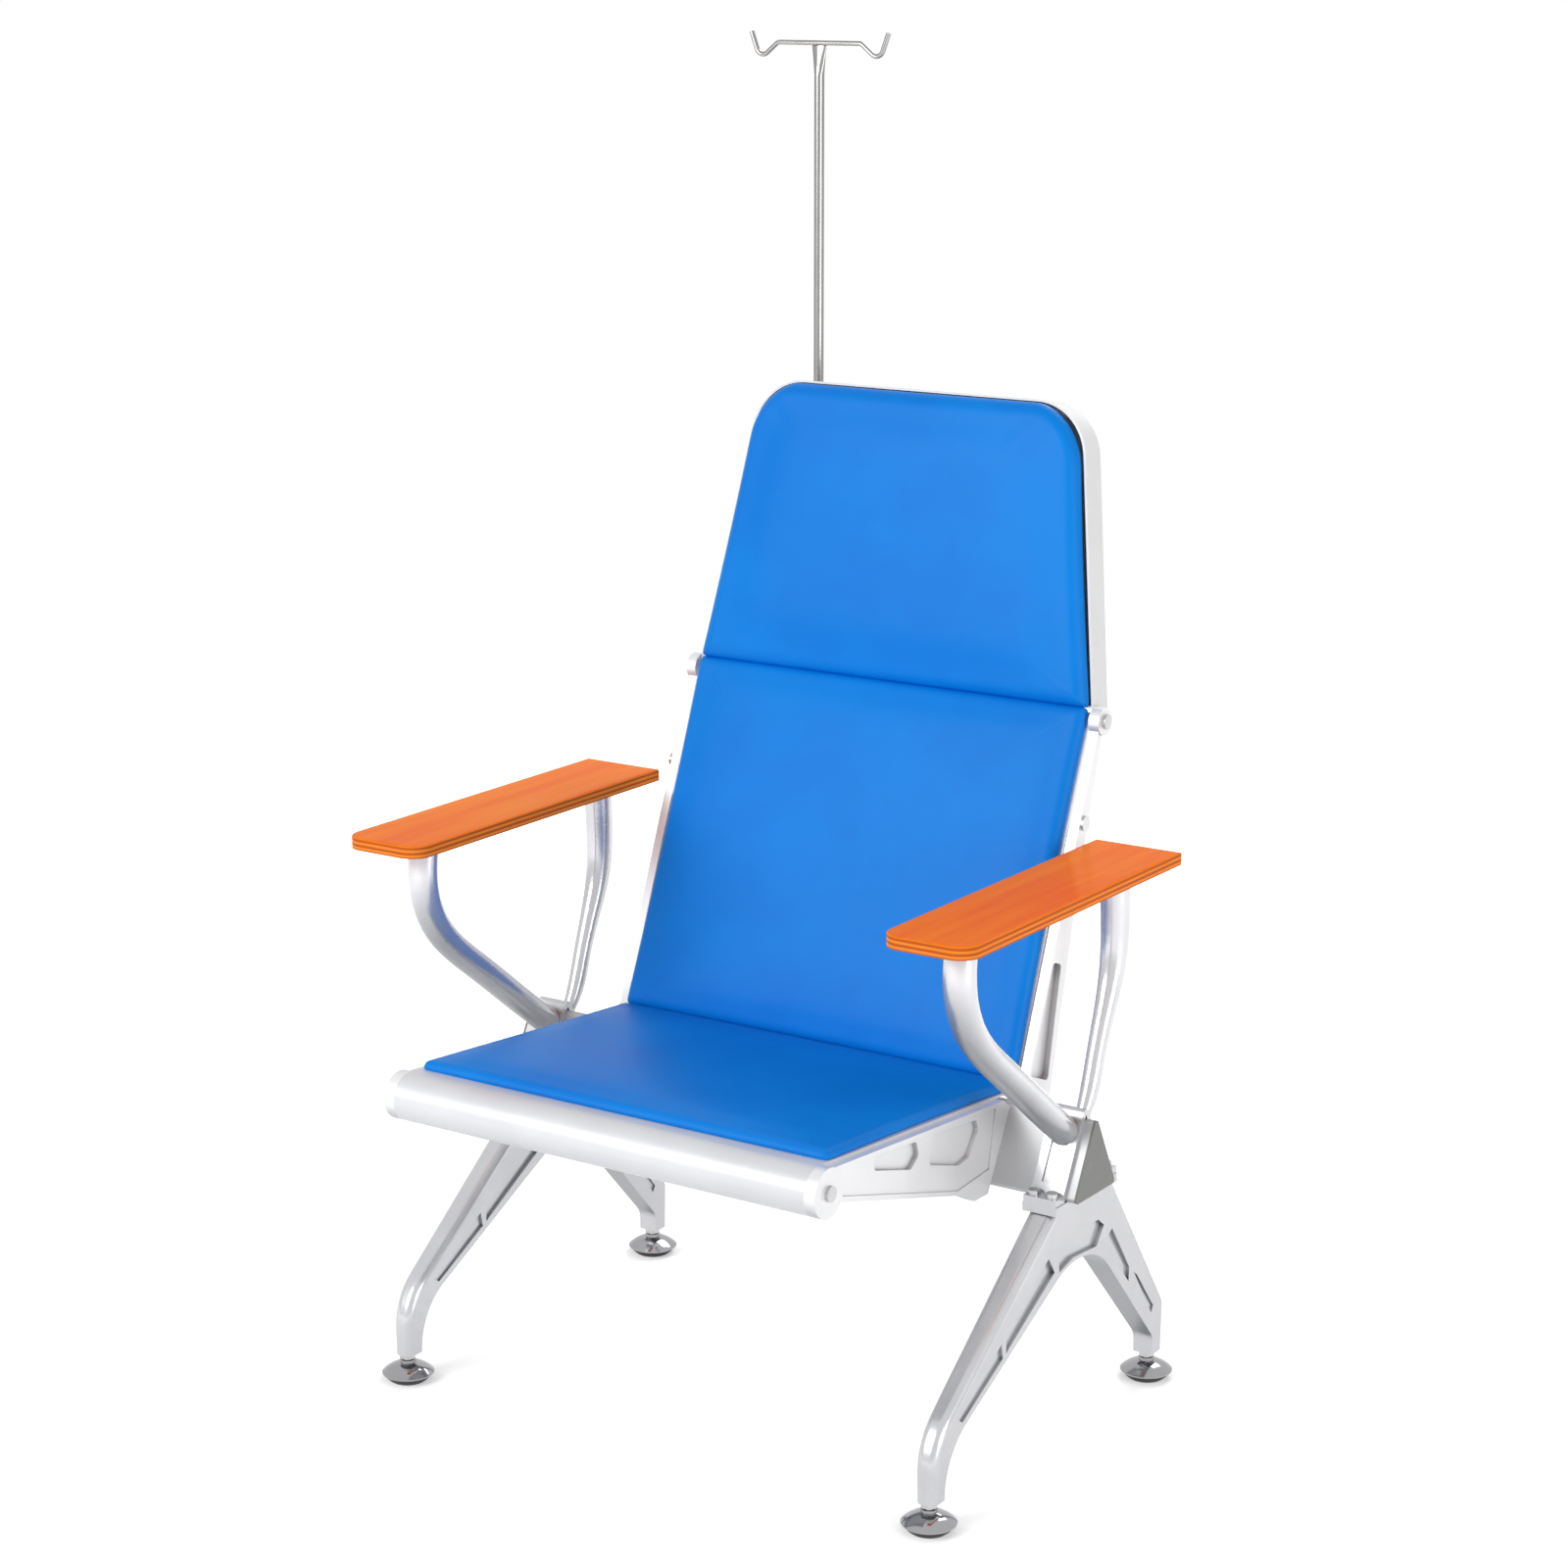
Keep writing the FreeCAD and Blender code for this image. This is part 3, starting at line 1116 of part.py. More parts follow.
def bent_wire(spots, radius):
    """Straight runs joined by tangent arcs of one radius."""
    edges = []
    start = spots[0]
    for before, corner, after in zip(spots, spots[1:], spots[2:]):
        back = (before - corner).normalize()
        ahead = (after - corner).normalize()
        half = back.getAngle(ahead) / 2
        reach = radius / math.tan(half)
        middle = (back + ahead).normalize() * (radius / math.sin(half) - radius)
        first = corner + back * reach
        second = corner + ahead * reach
        edges.append(Part.LineSegment(start, first).toShape())
        edges.append(Part.Arc(first, corner + middle, second).toShape())
        start = second
    edges.append(Part.LineSegment(start, spots[-1]).toShape())
    return Part.Wire(edges)


def make_hook(x, y):
    bar = TOP_Z + size.hook_bar_rise
    half = [
        (size.hook_span / 2, bar + size.hook_tip_rise), (size.hook_dip / 2, bar - size.hook_dip_depth),
        (size.hook_bar / 2, bar),
    ]
    right = [Vector((x + dx).value, y.value, dz.value) for dx, dz in half]
    left = [Vector((x - dx).value, y.value, dz.value) for dx, dz in reversed(half)]
    path = bent_wire(right + left, size.hook_bend.value)
    run = (right[1] - right[0]).normalize()
    ring_edge = Part.makeCircle(size.hook_wire.value / 2, right[0], run)
    feature = doc.addObject("Part::Feature", "hook_wire_sweep")
    feature.Shape = Part.Wire(path.Edges).makePipeShell([Part.Wire([ring_edge])], True, False)
    node("drip_hook", feature)


def make_socket():
    """Tube behind the headrest on two straps, with its screws."""
    x = POLE_X
    y = POLE_Y
    outer = size.socket_tube / 2
    inner = size.pole / 2 + size.collar_gap
    pieces = [cylinder("socket_body", outer, size.socket_head_rise - size.socket_foot_rise, x=x, y=y,
                       z=TOP_Z + size.socket_foot_rise)]
    heads = []
    rear = size.head_depth - size.head_front
    for rise in (size.socket_low_rise, size.socket_high_rise):
        up = rise * HEAD_STRETCH + rear * size.head_lean_share
        face_y, face_z = head_point(rear, up)
        half = size.socket_foot / 2
        plate = box("socket_foot_plate", size.socket_foot, size.socket_strap_plate, size.socket_strap,
                    x=x - half, y=face_y,
                    z=face_z - size.socket_strap / 2, lean=size.head_lean_share)
        web = box("socket_web", size.socket_strap_plate * 2, y - face_y, size.socket_strap,
                  x=x - size.socket_strap_plate,
                  y=face_y + size.socket_strap_plate / 2, z=face_z - size.socket_strap / 2)
        pieces += [plate, web]
        for side in (-1, 1):
            off = (half - size.socket_screw_head / 2 - size.socket_strap_plate / 2) * side
            middle = size.socket_strap / 2
            spot_y = face_y + (size.socket_strap_plate + middle * size.head_lean_share) / HEAD_STRETCH
            drop = size.socket_strap_plate * size.head_lean_share
            spot_z = face_z - middle + (middle - drop) / HEAD_STRETCH
            tilt = -90.0 - math.degrees(math.atan(size.head_lean_share.value))
            heads.append(cylinder("socket_screw_head", size.socket_screw_head / 2,
                                  size.socket_screw / 2, x=x + off, y=spot_y,
                                  z=spot_z, axis=Vector(1, 0, 0), angle=tilt))
    bore = cylinder("socket_bore", inner,
                    size.socket_head_rise - size.socket_foot_rise + size.overrun * 2, x=x,
                    y=y,
                    z=TOP_Z + size.socket_foot_rise - size.overrun)
    node("pole_socket", boolean("Cut", "socket_bored", boolean("MultiFuse", "socket_solid", *pieces),
                                bore))
    node("socket_screws", compound("socket_screws_group", heads))


def make_collar():
    x = POLE_X
    y = POLE_Y
    low = TOP_Z + size.socket_head_rise
    ring_body = cylinder("collar_ring", size.collar / 2, size.collar_rise, x=x, y=y, z=low)
    bore = cylinder("collar_bore", size.pole / 2 + size.running_fit,
                    size.collar_rise + size.overrun * 2, x=x, y=y, z=low - size.overrun)
    middle = low + size.collar_rise / 2
    away = dict(axis=Vector(1, 0, 0), angle=-90.0)
    stem_start = y + size.pole / 2 + size.seat_fit
    hole = cylinder("collar_hole", size.knob_stem / 2 + size.running_fit, size.collar, x=x, y=y,
                    z=middle, **away)
    node("pole_collar", boolean("Cut", "collar_bored", ring_body, boolean("MultiFuse", "collar_holes",
                                                                          bore, hole)))
    stem = cylinder("knob_stem_bar", size.knob_stem / 2, size.knob_stem_length, x=x, y=stem_start,
                    z=middle, **away)
    grip = cylinder("knob_grip", size.knob / 2, size.knob_rise, x=x,
                    y=stem_start + size.knob_stem_length, z=middle, **away)
    node("clamp_knob", boolean("MultiFuse", "knob_whole", stem, grip))


def export():
    """Check every object of the document, then write each sub-part."""
    doc.recompute()
    for item in doc.Objects:
        bad = [state for state in item.State if state in ("Invalid", "Error")]
        if bad:
            raise RuntimeError(f"{item.Name} ({item.Label}) failed: {bad}")
    os.makedirs("parts", exist_ok=True)
    for label, feature in NODES.items():
        shape = feature.Shape
        if shape.isNull() or not shape.isValid() or not shape.Solids:
            raise RuntimeError(f"{label} has no valid solid")
        shape.exportStep(f"parts/{label}.step")
        print(label, len(shape.Solids), round(shape.Volume))


make_beam()
make_caps()
make_leg()
make_leg_bolts()
make_feet()
ARM_STUD_ROWS = make_arm_frame()
make_arm_pads(ARM_STUD_ROWS)
make_seat_arm()
make_back_arm()
make_screws()
make_beam_bolts()
make_seat_pan()
make_back_panel()
make_head_shell()
make_upholstery()
make_pole()
make_socket()
make_collar()
export()
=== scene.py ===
"""Looks of a hospital infusion chair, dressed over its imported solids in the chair's own frame.

The chair stands on the floor, the sitter faces -Y and +X is to the sitter's left. All lengths are metres.
"""

import json
import logging
import math
from dataclasses import dataclass, field
from enum import Enum
from typing import Any, Sequence, Union

import bmesh
import bpy
import numpy as np
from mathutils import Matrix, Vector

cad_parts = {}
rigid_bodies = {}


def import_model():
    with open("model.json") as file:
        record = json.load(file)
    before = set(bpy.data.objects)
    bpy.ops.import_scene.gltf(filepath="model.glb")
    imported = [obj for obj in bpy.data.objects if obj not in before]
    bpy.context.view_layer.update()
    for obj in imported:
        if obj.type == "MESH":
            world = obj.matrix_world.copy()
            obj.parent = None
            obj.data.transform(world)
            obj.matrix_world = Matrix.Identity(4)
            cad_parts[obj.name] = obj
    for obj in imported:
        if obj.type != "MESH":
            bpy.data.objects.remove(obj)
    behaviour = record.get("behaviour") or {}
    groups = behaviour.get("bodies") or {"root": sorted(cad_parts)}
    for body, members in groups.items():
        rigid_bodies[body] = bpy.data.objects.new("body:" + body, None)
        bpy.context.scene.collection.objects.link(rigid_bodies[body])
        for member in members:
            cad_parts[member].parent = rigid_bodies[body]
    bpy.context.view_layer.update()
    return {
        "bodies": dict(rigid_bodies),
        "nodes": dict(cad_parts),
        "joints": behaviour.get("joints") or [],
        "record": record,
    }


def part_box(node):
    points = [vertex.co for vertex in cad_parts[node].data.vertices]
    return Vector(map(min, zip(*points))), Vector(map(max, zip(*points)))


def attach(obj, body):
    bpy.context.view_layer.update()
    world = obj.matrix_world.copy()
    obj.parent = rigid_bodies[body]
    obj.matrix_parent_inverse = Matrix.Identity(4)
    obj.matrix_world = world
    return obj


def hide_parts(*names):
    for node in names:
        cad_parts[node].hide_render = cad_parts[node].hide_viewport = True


LOG = logging.getLogger("infusion_chair")
FRAME_BODY = "frame"
SEEN_RAYS = ("Is Camera Ray", "Is Glossy Ray", "Is Transmission Ray")
MERGE_GAP = 1e-6
TINY = 1e-9
# Sockets of a Mix node that blends colours: the factor, the two colours and the result
MIX_FACTOR, MIX_FIRST, MIX_SECOND, MIX_RESULT = 0, 6, 7, 2
Colour = tuple[float, float, float]
Place = tuple[float, float, float]
Span = tuple[float, float]
Number = Union[int, float]


class Value:
    """A shader socket that takes part in Python sums, each of which adds a Math node."""

    def __init__(self, graph: "Graph", socket: bpy.types.NodeSocket) -> None:
        """Keep the socket and the graph that it belongs to."""
        self.graph = graph
        self.socket = socket

    def math(self, operation: str, *values: Union["Value", Number], flip: bool = False) -> "Value":
        """Add a Math node.

        Args:
            operation: Blender's name of the operation.
            values: the other operands.
            flip: whether this socket is the second operand.

        Returns:
            The node's result.
        """
        operands = [*values, self] if flip else [self, *values]
        return self.graph.node("ShaderNodeMath", {"operation": operation}, dict(enumerate(operands)))

    def __add__(self, other: Union["Value", Number]) -> "Value":
        """Sum."""
        return self.math("ADD", other)

    def __sub__(self, other: Union["Value", Number]) -> "Value":
        """Difference."""
        return self.math("SUBTRACT", other)

    def __rsub__(self, other: Number) -> "Value":
        """Difference from a number."""
        return self.math("SUBTRACT", other, flip=True)

    def __mul__(self, other: Union["Value", Number]) -> "Value":
        """Product."""
        return self.math("MULTIPLY", other)

    def __truediv__(self, other: Union["Value", Number]) -> "Value":
        """Quotient."""
        return self.math("DIVIDE", other)

    __radd__ = __add__
    __rmul__ = __mul__

    def step(self, low: float, high: float) -> "Value":
        """A smooth step from 0 at low to 1 at high."""
        inputs = {"Value": self, "From Min": low, "From Max": high}
        return self.graph.node("ShaderNodeMapRange", {"interpolation_type": "SMOOTHSTEP"}, inputs)


@dataclass(frozen=True)
class Pattern:
    """A cloudy noise: how fine, how detailed and how rough it is, and its scales where it is drawn out."""

    scale: float
    detail: float
    rough: float = 0.5
    drawn: Place | None = None


class Graph:
    """The node tree of a material or of the world, with its output node."""

    def __init__(self, owner: bpy.types.Material | bpy.types.World, output: str) -> None:
        """Start with an empty tree.

        Args:
            owner: the material or the world.
            output: the type of its output node.
        """
        owner.use_nodes = True
        self.owner = owner
        self.tree = owner.node_tree
        self.tree.nodes.clear()
        self.output = self.tree.nodes.new(output)
        self._coordinates: Value | None = None

    @classmethod
    def paint(cls, name: str) -> "Graph":
        """The tree of a new material."""
        return cls(bpy.data.materials.new(name), "ShaderNodeOutputMaterial")

    def node(self, kind: str, settings: dict[str, Any], inputs: dict[Any, Any], output: Any = 0) -> Value:
        """Add any node.

        Args:
            kind: the node's type.
            settings: its properties, such as a Math node's operation.
            inputs: values or links of its sockets, by name or number.
            output: the socket that is returned, by name or number.

        Returns:
            The chosen output as a value.
        """
        made = self.tree.nodes.new(kind)
        for key, setting in settings.items():
            setattr(made, key, setting)
        for key, given in inputs.items():
            if isinstance(given, Value):
                self.tree.links.new(given.socket, made.inputs[key])
            else:
                made.inputs[key].default_value = given
        return Value(self, made.outputs[output])

    def place(self) -> Value:
        """Object coordinates, in metres, shared by all the patterns of the material."""
        if self._coordinates is None:
            self._coordinates = self.node("ShaderNodeTexCoord", {}, {}, "Object")
        return self._coordinates

    def rise(self, vector: Value) -> Value:
        """The Z part of a vector."""
        return self.node("ShaderNodeSeparateXYZ", {}, {"Vector": vector}, "Z")

    def facing_up(self) -> Value:
        """How far the surface faces up: 1 on top, 0 where it is upright, -1 underneath."""
        return self.rise(self.node("ShaderNodeNewGeometry", {}, {}, "Normal"))

    def seen(self) -> Value:
        """1 for rays of the camera, of mirrors and through glass, 0 for the light that falls on things."""
        camera, mirror, glass = (self.node("ShaderNodeLightPath", {}, {}, ray) for ray in SEEN_RAYS)
        return camera.math("MAXIMUM", mirror).math("MAXIMUM", glass)

    def noise(self, pattern: Pattern) -> Value:
        """Cloudy noise from 0 to 1 on the object's coordinates, scaled along the axes where it is drawn out.

        Args:
            pattern: the noise that is wanted.

        Returns:
            Its value.
        """
        vector = self.place()
        if pattern.drawn is not None:
            vector = self.node("ShaderNodeMapping", {}, {"Vector": vector, "Scale": pattern.drawn})
        inputs = {"Scale": pattern.scale, "Detail": pattern.detail, "Roughness": pattern.rough}
        return self.node("ShaderNodeTexNoise", {}, {"Vector": vector, **inputs})

    def cells(self, scale: float, feature: str = "F1") -> Value:
        """Distance of Voronoi cells."""
        inputs = {"Vector": self.place(), "Scale": scale}
        return self.node("ShaderNodeTexVoronoi", {"feature": feature}, inputs, "Distance")

    @staticmethod
    def rgba(given: Value | Colour) -> Any:
        """A colour with its alpha, or a link as it is."""
        return given if isinstance(given, Value) else (*given, 1.0)

    def mix(self, factor: Value, first: Value | Colour, second: Value | Colour) -> Value:
        """Blend two colours by a factor."""
        inputs = {MIX_FACTOR: factor, MIX_FIRST: self.rgba(first), MIX_SECOND: self.rgba(second)}
        return self.node("ShaderNodeMix", {"data_type": "RGBA"}, inputs, MIX_RESULT)

    def bump(self, height: Value, depth: float, strength: float) -> Value:
        """A normal bumped by a height from 0 to 1, so many metres deep, of which a share shows."""
        return self.node("ShaderNodeBump", {}, {"Height": height, "Distance": depth, "Strength": strength})

    def close(self, surface: Value) -> None:
        """Link a shader to the output."""
        self.tree.links.new(surface.socket, self.output.inputs["Surface"])

    def shade(self, **sockets: Any) -> bpy.types.Material:
        """Close the material with a Principled shader.

        Args:
            sockets: the shader's inputs, with underscores for spaces.

        Returns:
            The material.
        """
        inputs = {key.replace("_", " "): given for key, given in sockets.items()}
        self.close(self.node("ShaderNodeBsdfPrincipled", {}, inputs))
        return self.owner


@dataclass(frozen=True)
class Finish:
    """A surface finish; each kind paints its own material."""

    name: str

    def material(self) -> bpy.types.Material:
        """Make the finish's material."""
        raise NotImplementedError


@dataclass(frozen=True)
class CoatedLeather(Finish):
    """Blue coated upholstery leather: fine pebble grain, soft sheen and slight clouds in its colour."""

    name: str = "blue_leather"
    colour: Colour = (0.001, 0.220, 0.73)
    deep: Colour = (0.001, 0.190, 0.68)
    clouds: Pattern = Pattern(7.0, 4.0)
    cloud_span: Span = (0.3, 0.7)
    pebbles: float = 900.0
    pebble_span: Span = (0.0, 0.5)
    creases: Pattern = Pattern(160.0, 6.0, 0.62)
    crease_share: float = 0.4
    grain_depth: float = 0.00012
    grain_strength: float = 0.5
    dullness: float = 0.34
    cloud_dulls: float = 0.08
    groove_dulls: float = 0.06
    shine: float = 0.13

    def material(self) -> bpy.types.Material:
        """Pebbles come from cell edges broken up by noise; the sheen varies with slow clouds.

        Returns:
            The material.
        """
        graph = Graph.paint(self.name)
        clouds = graph.noise(self.clouds)
        pebble = graph.cells(self.pebbles, "DISTANCE_TO_EDGE").step(*self.pebble_span)
        relief = pebble * (1.0 - self.crease_share) + graph.noise(self.creases) * self.crease_share
        colour = graph.mix(clouds.step(*self.cloud_span), self.deep, self.colour)
        dull = self.dullness + clouds * self.cloud_dulls + (1.0 - pebble) * self.groove_dulls
        normal = graph.bump(relief, self.grain_depth, self.grain_strength)
        return graph.shade(Base_Color=colour, Roughness=dull, Normal=normal, Specular_IOR_Level=self.shine)


@dataclass(frozen=True)
class LacqueredPlywood(Finish):
    """Orange cherry plywood under clear lacquer, with its plies showing at the edges."""

    name: str = "arm_wood"
    light: Colour = (1.0, 0.240, 0.002)
    dark: Colour = (0.92, 0.145, 0.001)
    ply_light: Colour = (0.88, 0.25, 0.036)
    ply_dark: Colour = (0.52, 0.105, 0.016)
    top: float = 0.6445
    ply: float = 0.0028
    figure: Pattern = Pattern(1.0, 5.0, 0.6, (38.0, 2.2, 38.0))
    pores: Pattern = Pattern(1.0, 3.0, drawn=(900.0, 26.0, 900.0))
    flame: Pattern = Pattern(1.0, 2.0, drawn=(9.0, 3.0, 9.0))
    flame_share: float = 0.35
    tone_span: Span = (0.33, 0.68)
    face_pores: Span = (0.60, 0.78)
    face_pore_share: float = 0.35
    ply_pores: Span = (0.5, 0.8)
    ply_pore_share: float = 0.4
    ply_wander: float = 0.25
    ply_span: Span = (0.35, 0.65)
    upright_span: Span = (0.35, 0.8)
    relief_share: float = 0.5
    relief_depth: float = 0.00008
    relief_strength: float = 0.35
    dullness: float = 0.09
    pore_dulls: float = 0.08
    shine: float = 0.015

    def material(self) -> bpy.types.Material:
        """Grain is noise drawn out along Y; plies are bands of height shown where the face is upright.

        Returns:
            The material.
        """
        graph = Graph.paint(self.name)
        figure, pores, flame = (graph.noise(pattern) for pattern in (self.figure, self.pores, self.flame))
        tone = (figure * (1.0 - self.flame_share) + flame * self.flame_share).step(*self.tone_span)
        face = graph.mix(tone, self.dark, self.light)
        face = graph.mix(pores.step(*self.face_pores) * self.face_pore_share, face, self.dark)
        layer = ((self.top - graph.rise(graph.place())) / self.ply).math("PINGPONG", 1.0)
        band = (layer + (figure - 0.5) * self.ply_wander).step(*self.ply_span)
        plies = graph.mix(band, self.ply_light, self.ply_dark)
        plies = graph.mix(pores.step(*self.ply_pores) * self.ply_pore_share, plies, self.ply_dark)
        upright = 1.0 - graph.facing_up().math("ABSOLUTE").step(*self.upright_span)
        colour = graph.mix(upright, face, plies)
        relief = pores * self.relief_share + figure * (1.0 - self.relief_share)
        normal = graph.bump(relief, self.relief_depth, self.relief_strength)
        dull = self.dullness + pores * self.pore_dulls
        return graph.shade(Base_Color=colour, Roughness=dull, Normal=normal, Specular_IOR_Level=self.shine)


@dataclass(frozen=True)
class SilverCoat(Finish):
    """Silver-painted metal: fine flake, a slight orange peel, soft reflections and painted shade in its
    corners.
    """

    name: str = "cast_silver"
    colour: Colour = (0.61, 0.615, 0.635)
    worn: Colour = (0.53, 0.535, 0.555)
    metallic: float = 0.60
    dullness: float = 0.13
    peel: float = 420.0
    peel_depth: float = 0.00005
    # The next fields set painted shade: how far it reaches into corners, the share that darkens downward
    # faces, its dark colour, how ambient occlusion maps to it, its patchiness and its samples.
    shade_reach: float = 0.012
    under_shade_and_dull: float = 0.0
    painted_shade: Colour = (0.13, 0.135, 0.15)
    shade_span: Span = (0.16, 0.85)
    shade_cloud_share: float = 0.3
    shade_samples: int = 8
    clouds: Pattern = Pattern(14.0, 4.0)
    flakes: float = 2600.0
    flake_share: float = 0.4
    tone_span: Span = (0.25, 0.75)
    cloud_dulls: float = 0.10
    flake_dulls: float = 0.05
    under_span: Span = (0.05, 0.75)
    under_dulls: float = 0.12
    peel_detail: float = 2.0
    peel_strength: float = 0.35

    def material(self) -> bpy.types.Material:
        """Flake is fine cell noise in the colour; orange peel is a low relief; painted shade darkens the
        corners.

        Where a casting's faces look down they are rougher, and painted shade darkens their colour.

        Returns:
            The material.
        """
        graph = Graph.paint(self.name)
        clouds = graph.noise(self.clouds)
        flake = graph.cells(self.flakes)
        tone = (clouds * (1.0 - self.flake_share) + flake * self.flake_share).step(*self.tone_span)
        colour = graph.mix(tone, self.worn, self.colour)
        # Painted shade: ambient occlusion darkens the colour in corners and recesses, in patches.
        settings = {"samples": self.shade_samples, "only_local": True}
        open_air = graph.node("ShaderNodeAmbientOcclusion", settings, {"Distance": self.shade_reach}, "AO")
        patchy = 1.0 - self.shade_cloud_share + clouds * self.shade_cloud_share
        colour = graph.mix((1.0 - open_air).step(*self.shade_span) * patchy, colour, self.painted_shade)
        dull = self.dullness + clouds * self.cloud_dulls + flake * self.flake_dulls
        # Painted shade: faces that look down are darkened towards the shade colour, and are also made
        # rougher.
        if self.under_shade_and_dull:
            below = (0.0 - graph.facing_up()).step(*self.under_span)
            colour = graph.mix(below * self.under_shade_and_dull, colour, self.painted_shade)
            dull = dull + below * self.under_dulls
        peel = graph.noise(Pattern(self.peel, self.peel_detail))
        normal = graph.bump(peel, self.peel_depth, self.peel_strength)
        return graph.shade(Base_Color=colour, Metallic=self.metallic, Roughness=dull, Normal=normal)


@dataclass(frozen=True)
class BrightSteel(Finish):
    """Bare bright metal with fine drawn lines along Z and faint smudges."""

    name: str = "pole_steel"
    colour: Colour = (0.33, 0.325, 0.32)
    smudge: Colour = (0.25, 0.25, 0.245)
    dullness: float = 0.16
    lines: Place = (1400.0, 1400.0, 9.0)
    line_detail: float = 2.0
    line_dulls: float = 0.08
    line_depth: float = 0.000003
    line_strength: float = 0.3
    clouds: Pattern = Pattern(22.0, 4.0)
    cloud_dulls: float = 0.06
    smudge_span: Span = (0.35, 0.75)
    smudge_share: float = 0.6

    def material(self) -> bpy.types.Material:
        """Lines are noise drawn out along Z, in the gloss and in a very low relief.

        Returns:
            The material.
        """
        graph = Graph.paint(self.name)
        drawn = graph.noise(Pattern(1.0, self.line_detail, drawn=self.lines))
        clouds = graph.noise(self.clouds)
        colour = graph.mix(clouds.step(*self.smudge_span) * self.smudge_share, self.colour, self.smudge)
        dull = self.dullness + drawn * self.line_dulls + clouds * self.cloud_dulls
        normal = graph.bump(drawn, self.line_depth, self.line_strength)
        return graph.shade(Base_Color=colour, Metallic=1.0, Roughness=dull, Normal=normal)


@dataclass(frozen=True)
class DullPlastic(Finish):
    """Moulded plastic or rubber with a fine spark-eroded texture and scuffs."""

    name: str = "foot_rubber"
    colour: Colour = (0.016, 0.016, 0.017)
    scuff: Colour = (0.05, 0.05, 0.05)
    dullness: float = 0.55
    texture: Pattern = Pattern(1500.0, 2.0)
    texture_depth: float = 0.00006
    texture_strength: float = 0.5
    texture_dulls: float = 0.15
    scuffs: Pattern = Pattern(60.0, 6.0, 0.7)
    scuff_span: Span = (0.58, 0.72)
    scuff_share: float = 0.5

    def material(self) -> bpy.types.Material:
        """Texture is fine noise; scuffs are sparse patches of lighter colour.

        Returns:
            The material.
        """
        graph = Graph.paint(self.name)
        fine = graph.noise(self.texture)
        scuffs = graph.noise(self.scuffs).step(*self.scuff_span)
        colour = graph.mix(scuffs * self.scuff_share, self.colour, self.scuff)
        normal = graph.bump(fine, self.texture_depth, self.texture_strength)
        dull = self.dullness + fine * self.texture_dulls
        return graph.shade(Base_Color=colour, Roughness=dull, Normal=normal)


@dataclass(frozen=True)
class RawBoard(Finish):
    """Raw plywood of the boards inside the cushions."""

    name: str = "plywood"
    light: Colour = (0.56, 0.41, 0.25)
    dark: Colour = (0.40, 0.27, 0.15)
    grain: Pattern = Pattern(1.0, 4.0, drawn=(6.0, 160.0, 160.0))
    grain_span: Span = (0.3, 0.7)
    grain_depth: float = 0.0001
    grain_strength: float = 0.4
    dullness: float = 0.7
    grain_dulls: float = 0.1

    def material(self) -> bpy.types.Material:
        """Grain is noise drawn out along X.

        Returns:
            The material.
        """
        graph = Graph.paint(self.name)
        grain = graph.noise(self.grain)
        colour = graph.mix(grain.step(*self.grain_span), self.dark, self.light)
        normal = graph.bump(grain, self.grain_depth, self.grain_strength)
        dull = self.dullness + grain * self.grain_dulls
        return graph.shade(Base_Color=colour, Roughness=dull, Normal=normal)


FINISHES: tuple[Finish, ...] = (
    CoatedLeather(),
    LacqueredPlywood(),
    # Every silver finish darkens its corners with painted shade; the first two also darken faces that look
    # down.
    SilverCoat(under_shade_and_dull=0.60),
    SilverCoat("bracket_silver", (0.82, 0.825, 0.835), (0.76, 0.765, 0.78), 0.40, 0.28,
               shade_reach=0.022, under_shade_and_dull=0.40),
    SilverCoat("pan_silver", (0.69, 0.70, 0.72), (0.63, 0.64, 0.67), 0.20, 0.34, 700.0, 0.00004),
    SilverCoat("shell_silver", (0.78, 0.785, 0.79), (0.73, 0.735, 0.745), 0.05, 0.36, 700.0, 0.00004),
    SilverCoat("beam_steel", (0.50, 0.51, 0.52), (0.42, 0.43, 0.44), 0.5, 0.34, 600.0, 0.00008),
    BrightSteel(),
    BrightSteel("collar_metal", (0.70, 0.71, 0.73), (0.60, 0.61, 0.63), 0.24, (300.0, 300.0, 300.0)),
    BrightSteel("bolt_steel", (0.56, 0.56, 0.56), (0.42, 0.42, 0.42), 0.22, (500.0, 500.0, 500.0)),
    BrightSteel("foot_chrome", (0.38, 0.38, 0.39), (0.30, 0.30, 0.31), 0.05, (200.0, 200.0, 200.0)),
    DullPlastic(),
    DullPlastic("knob_black", (0.018, 0.018, 0.019), (0.06, 0.06, 0.06), 0.42),
    DullPlastic("cap_grey", (0.195, 0.20, 0.19), (0.24, 0.24, 0.23), 0.5),
    RawBoard(),
)


class Wardrobe:
    """Holds one material for each slot of the record and dresses objects in them."""

    def __init__(self, frame: dict[str, Any]) -> None:
        """Make all the materials.
        """
        self.frame = frame
        self.materials = {finish.name: finish.material() for finish in FINISHES}

    def dress(self, thing: bpy.types.Object, slot: str) -> None:
        """Give an object the one material of a slot."""
        thing.data.materials.clear()
        thing.data.materials.append(self.materials[slot])

    def dress_solids(self) -> None:
        """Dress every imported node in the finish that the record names."""
        for row in self.frame["record"]["subparts"]:
            self.dress(self.frame["nodes"][row["node"]], row["material_slot"])
            LOG.info("solid %s in %s", row["node"], row["material_slot"])


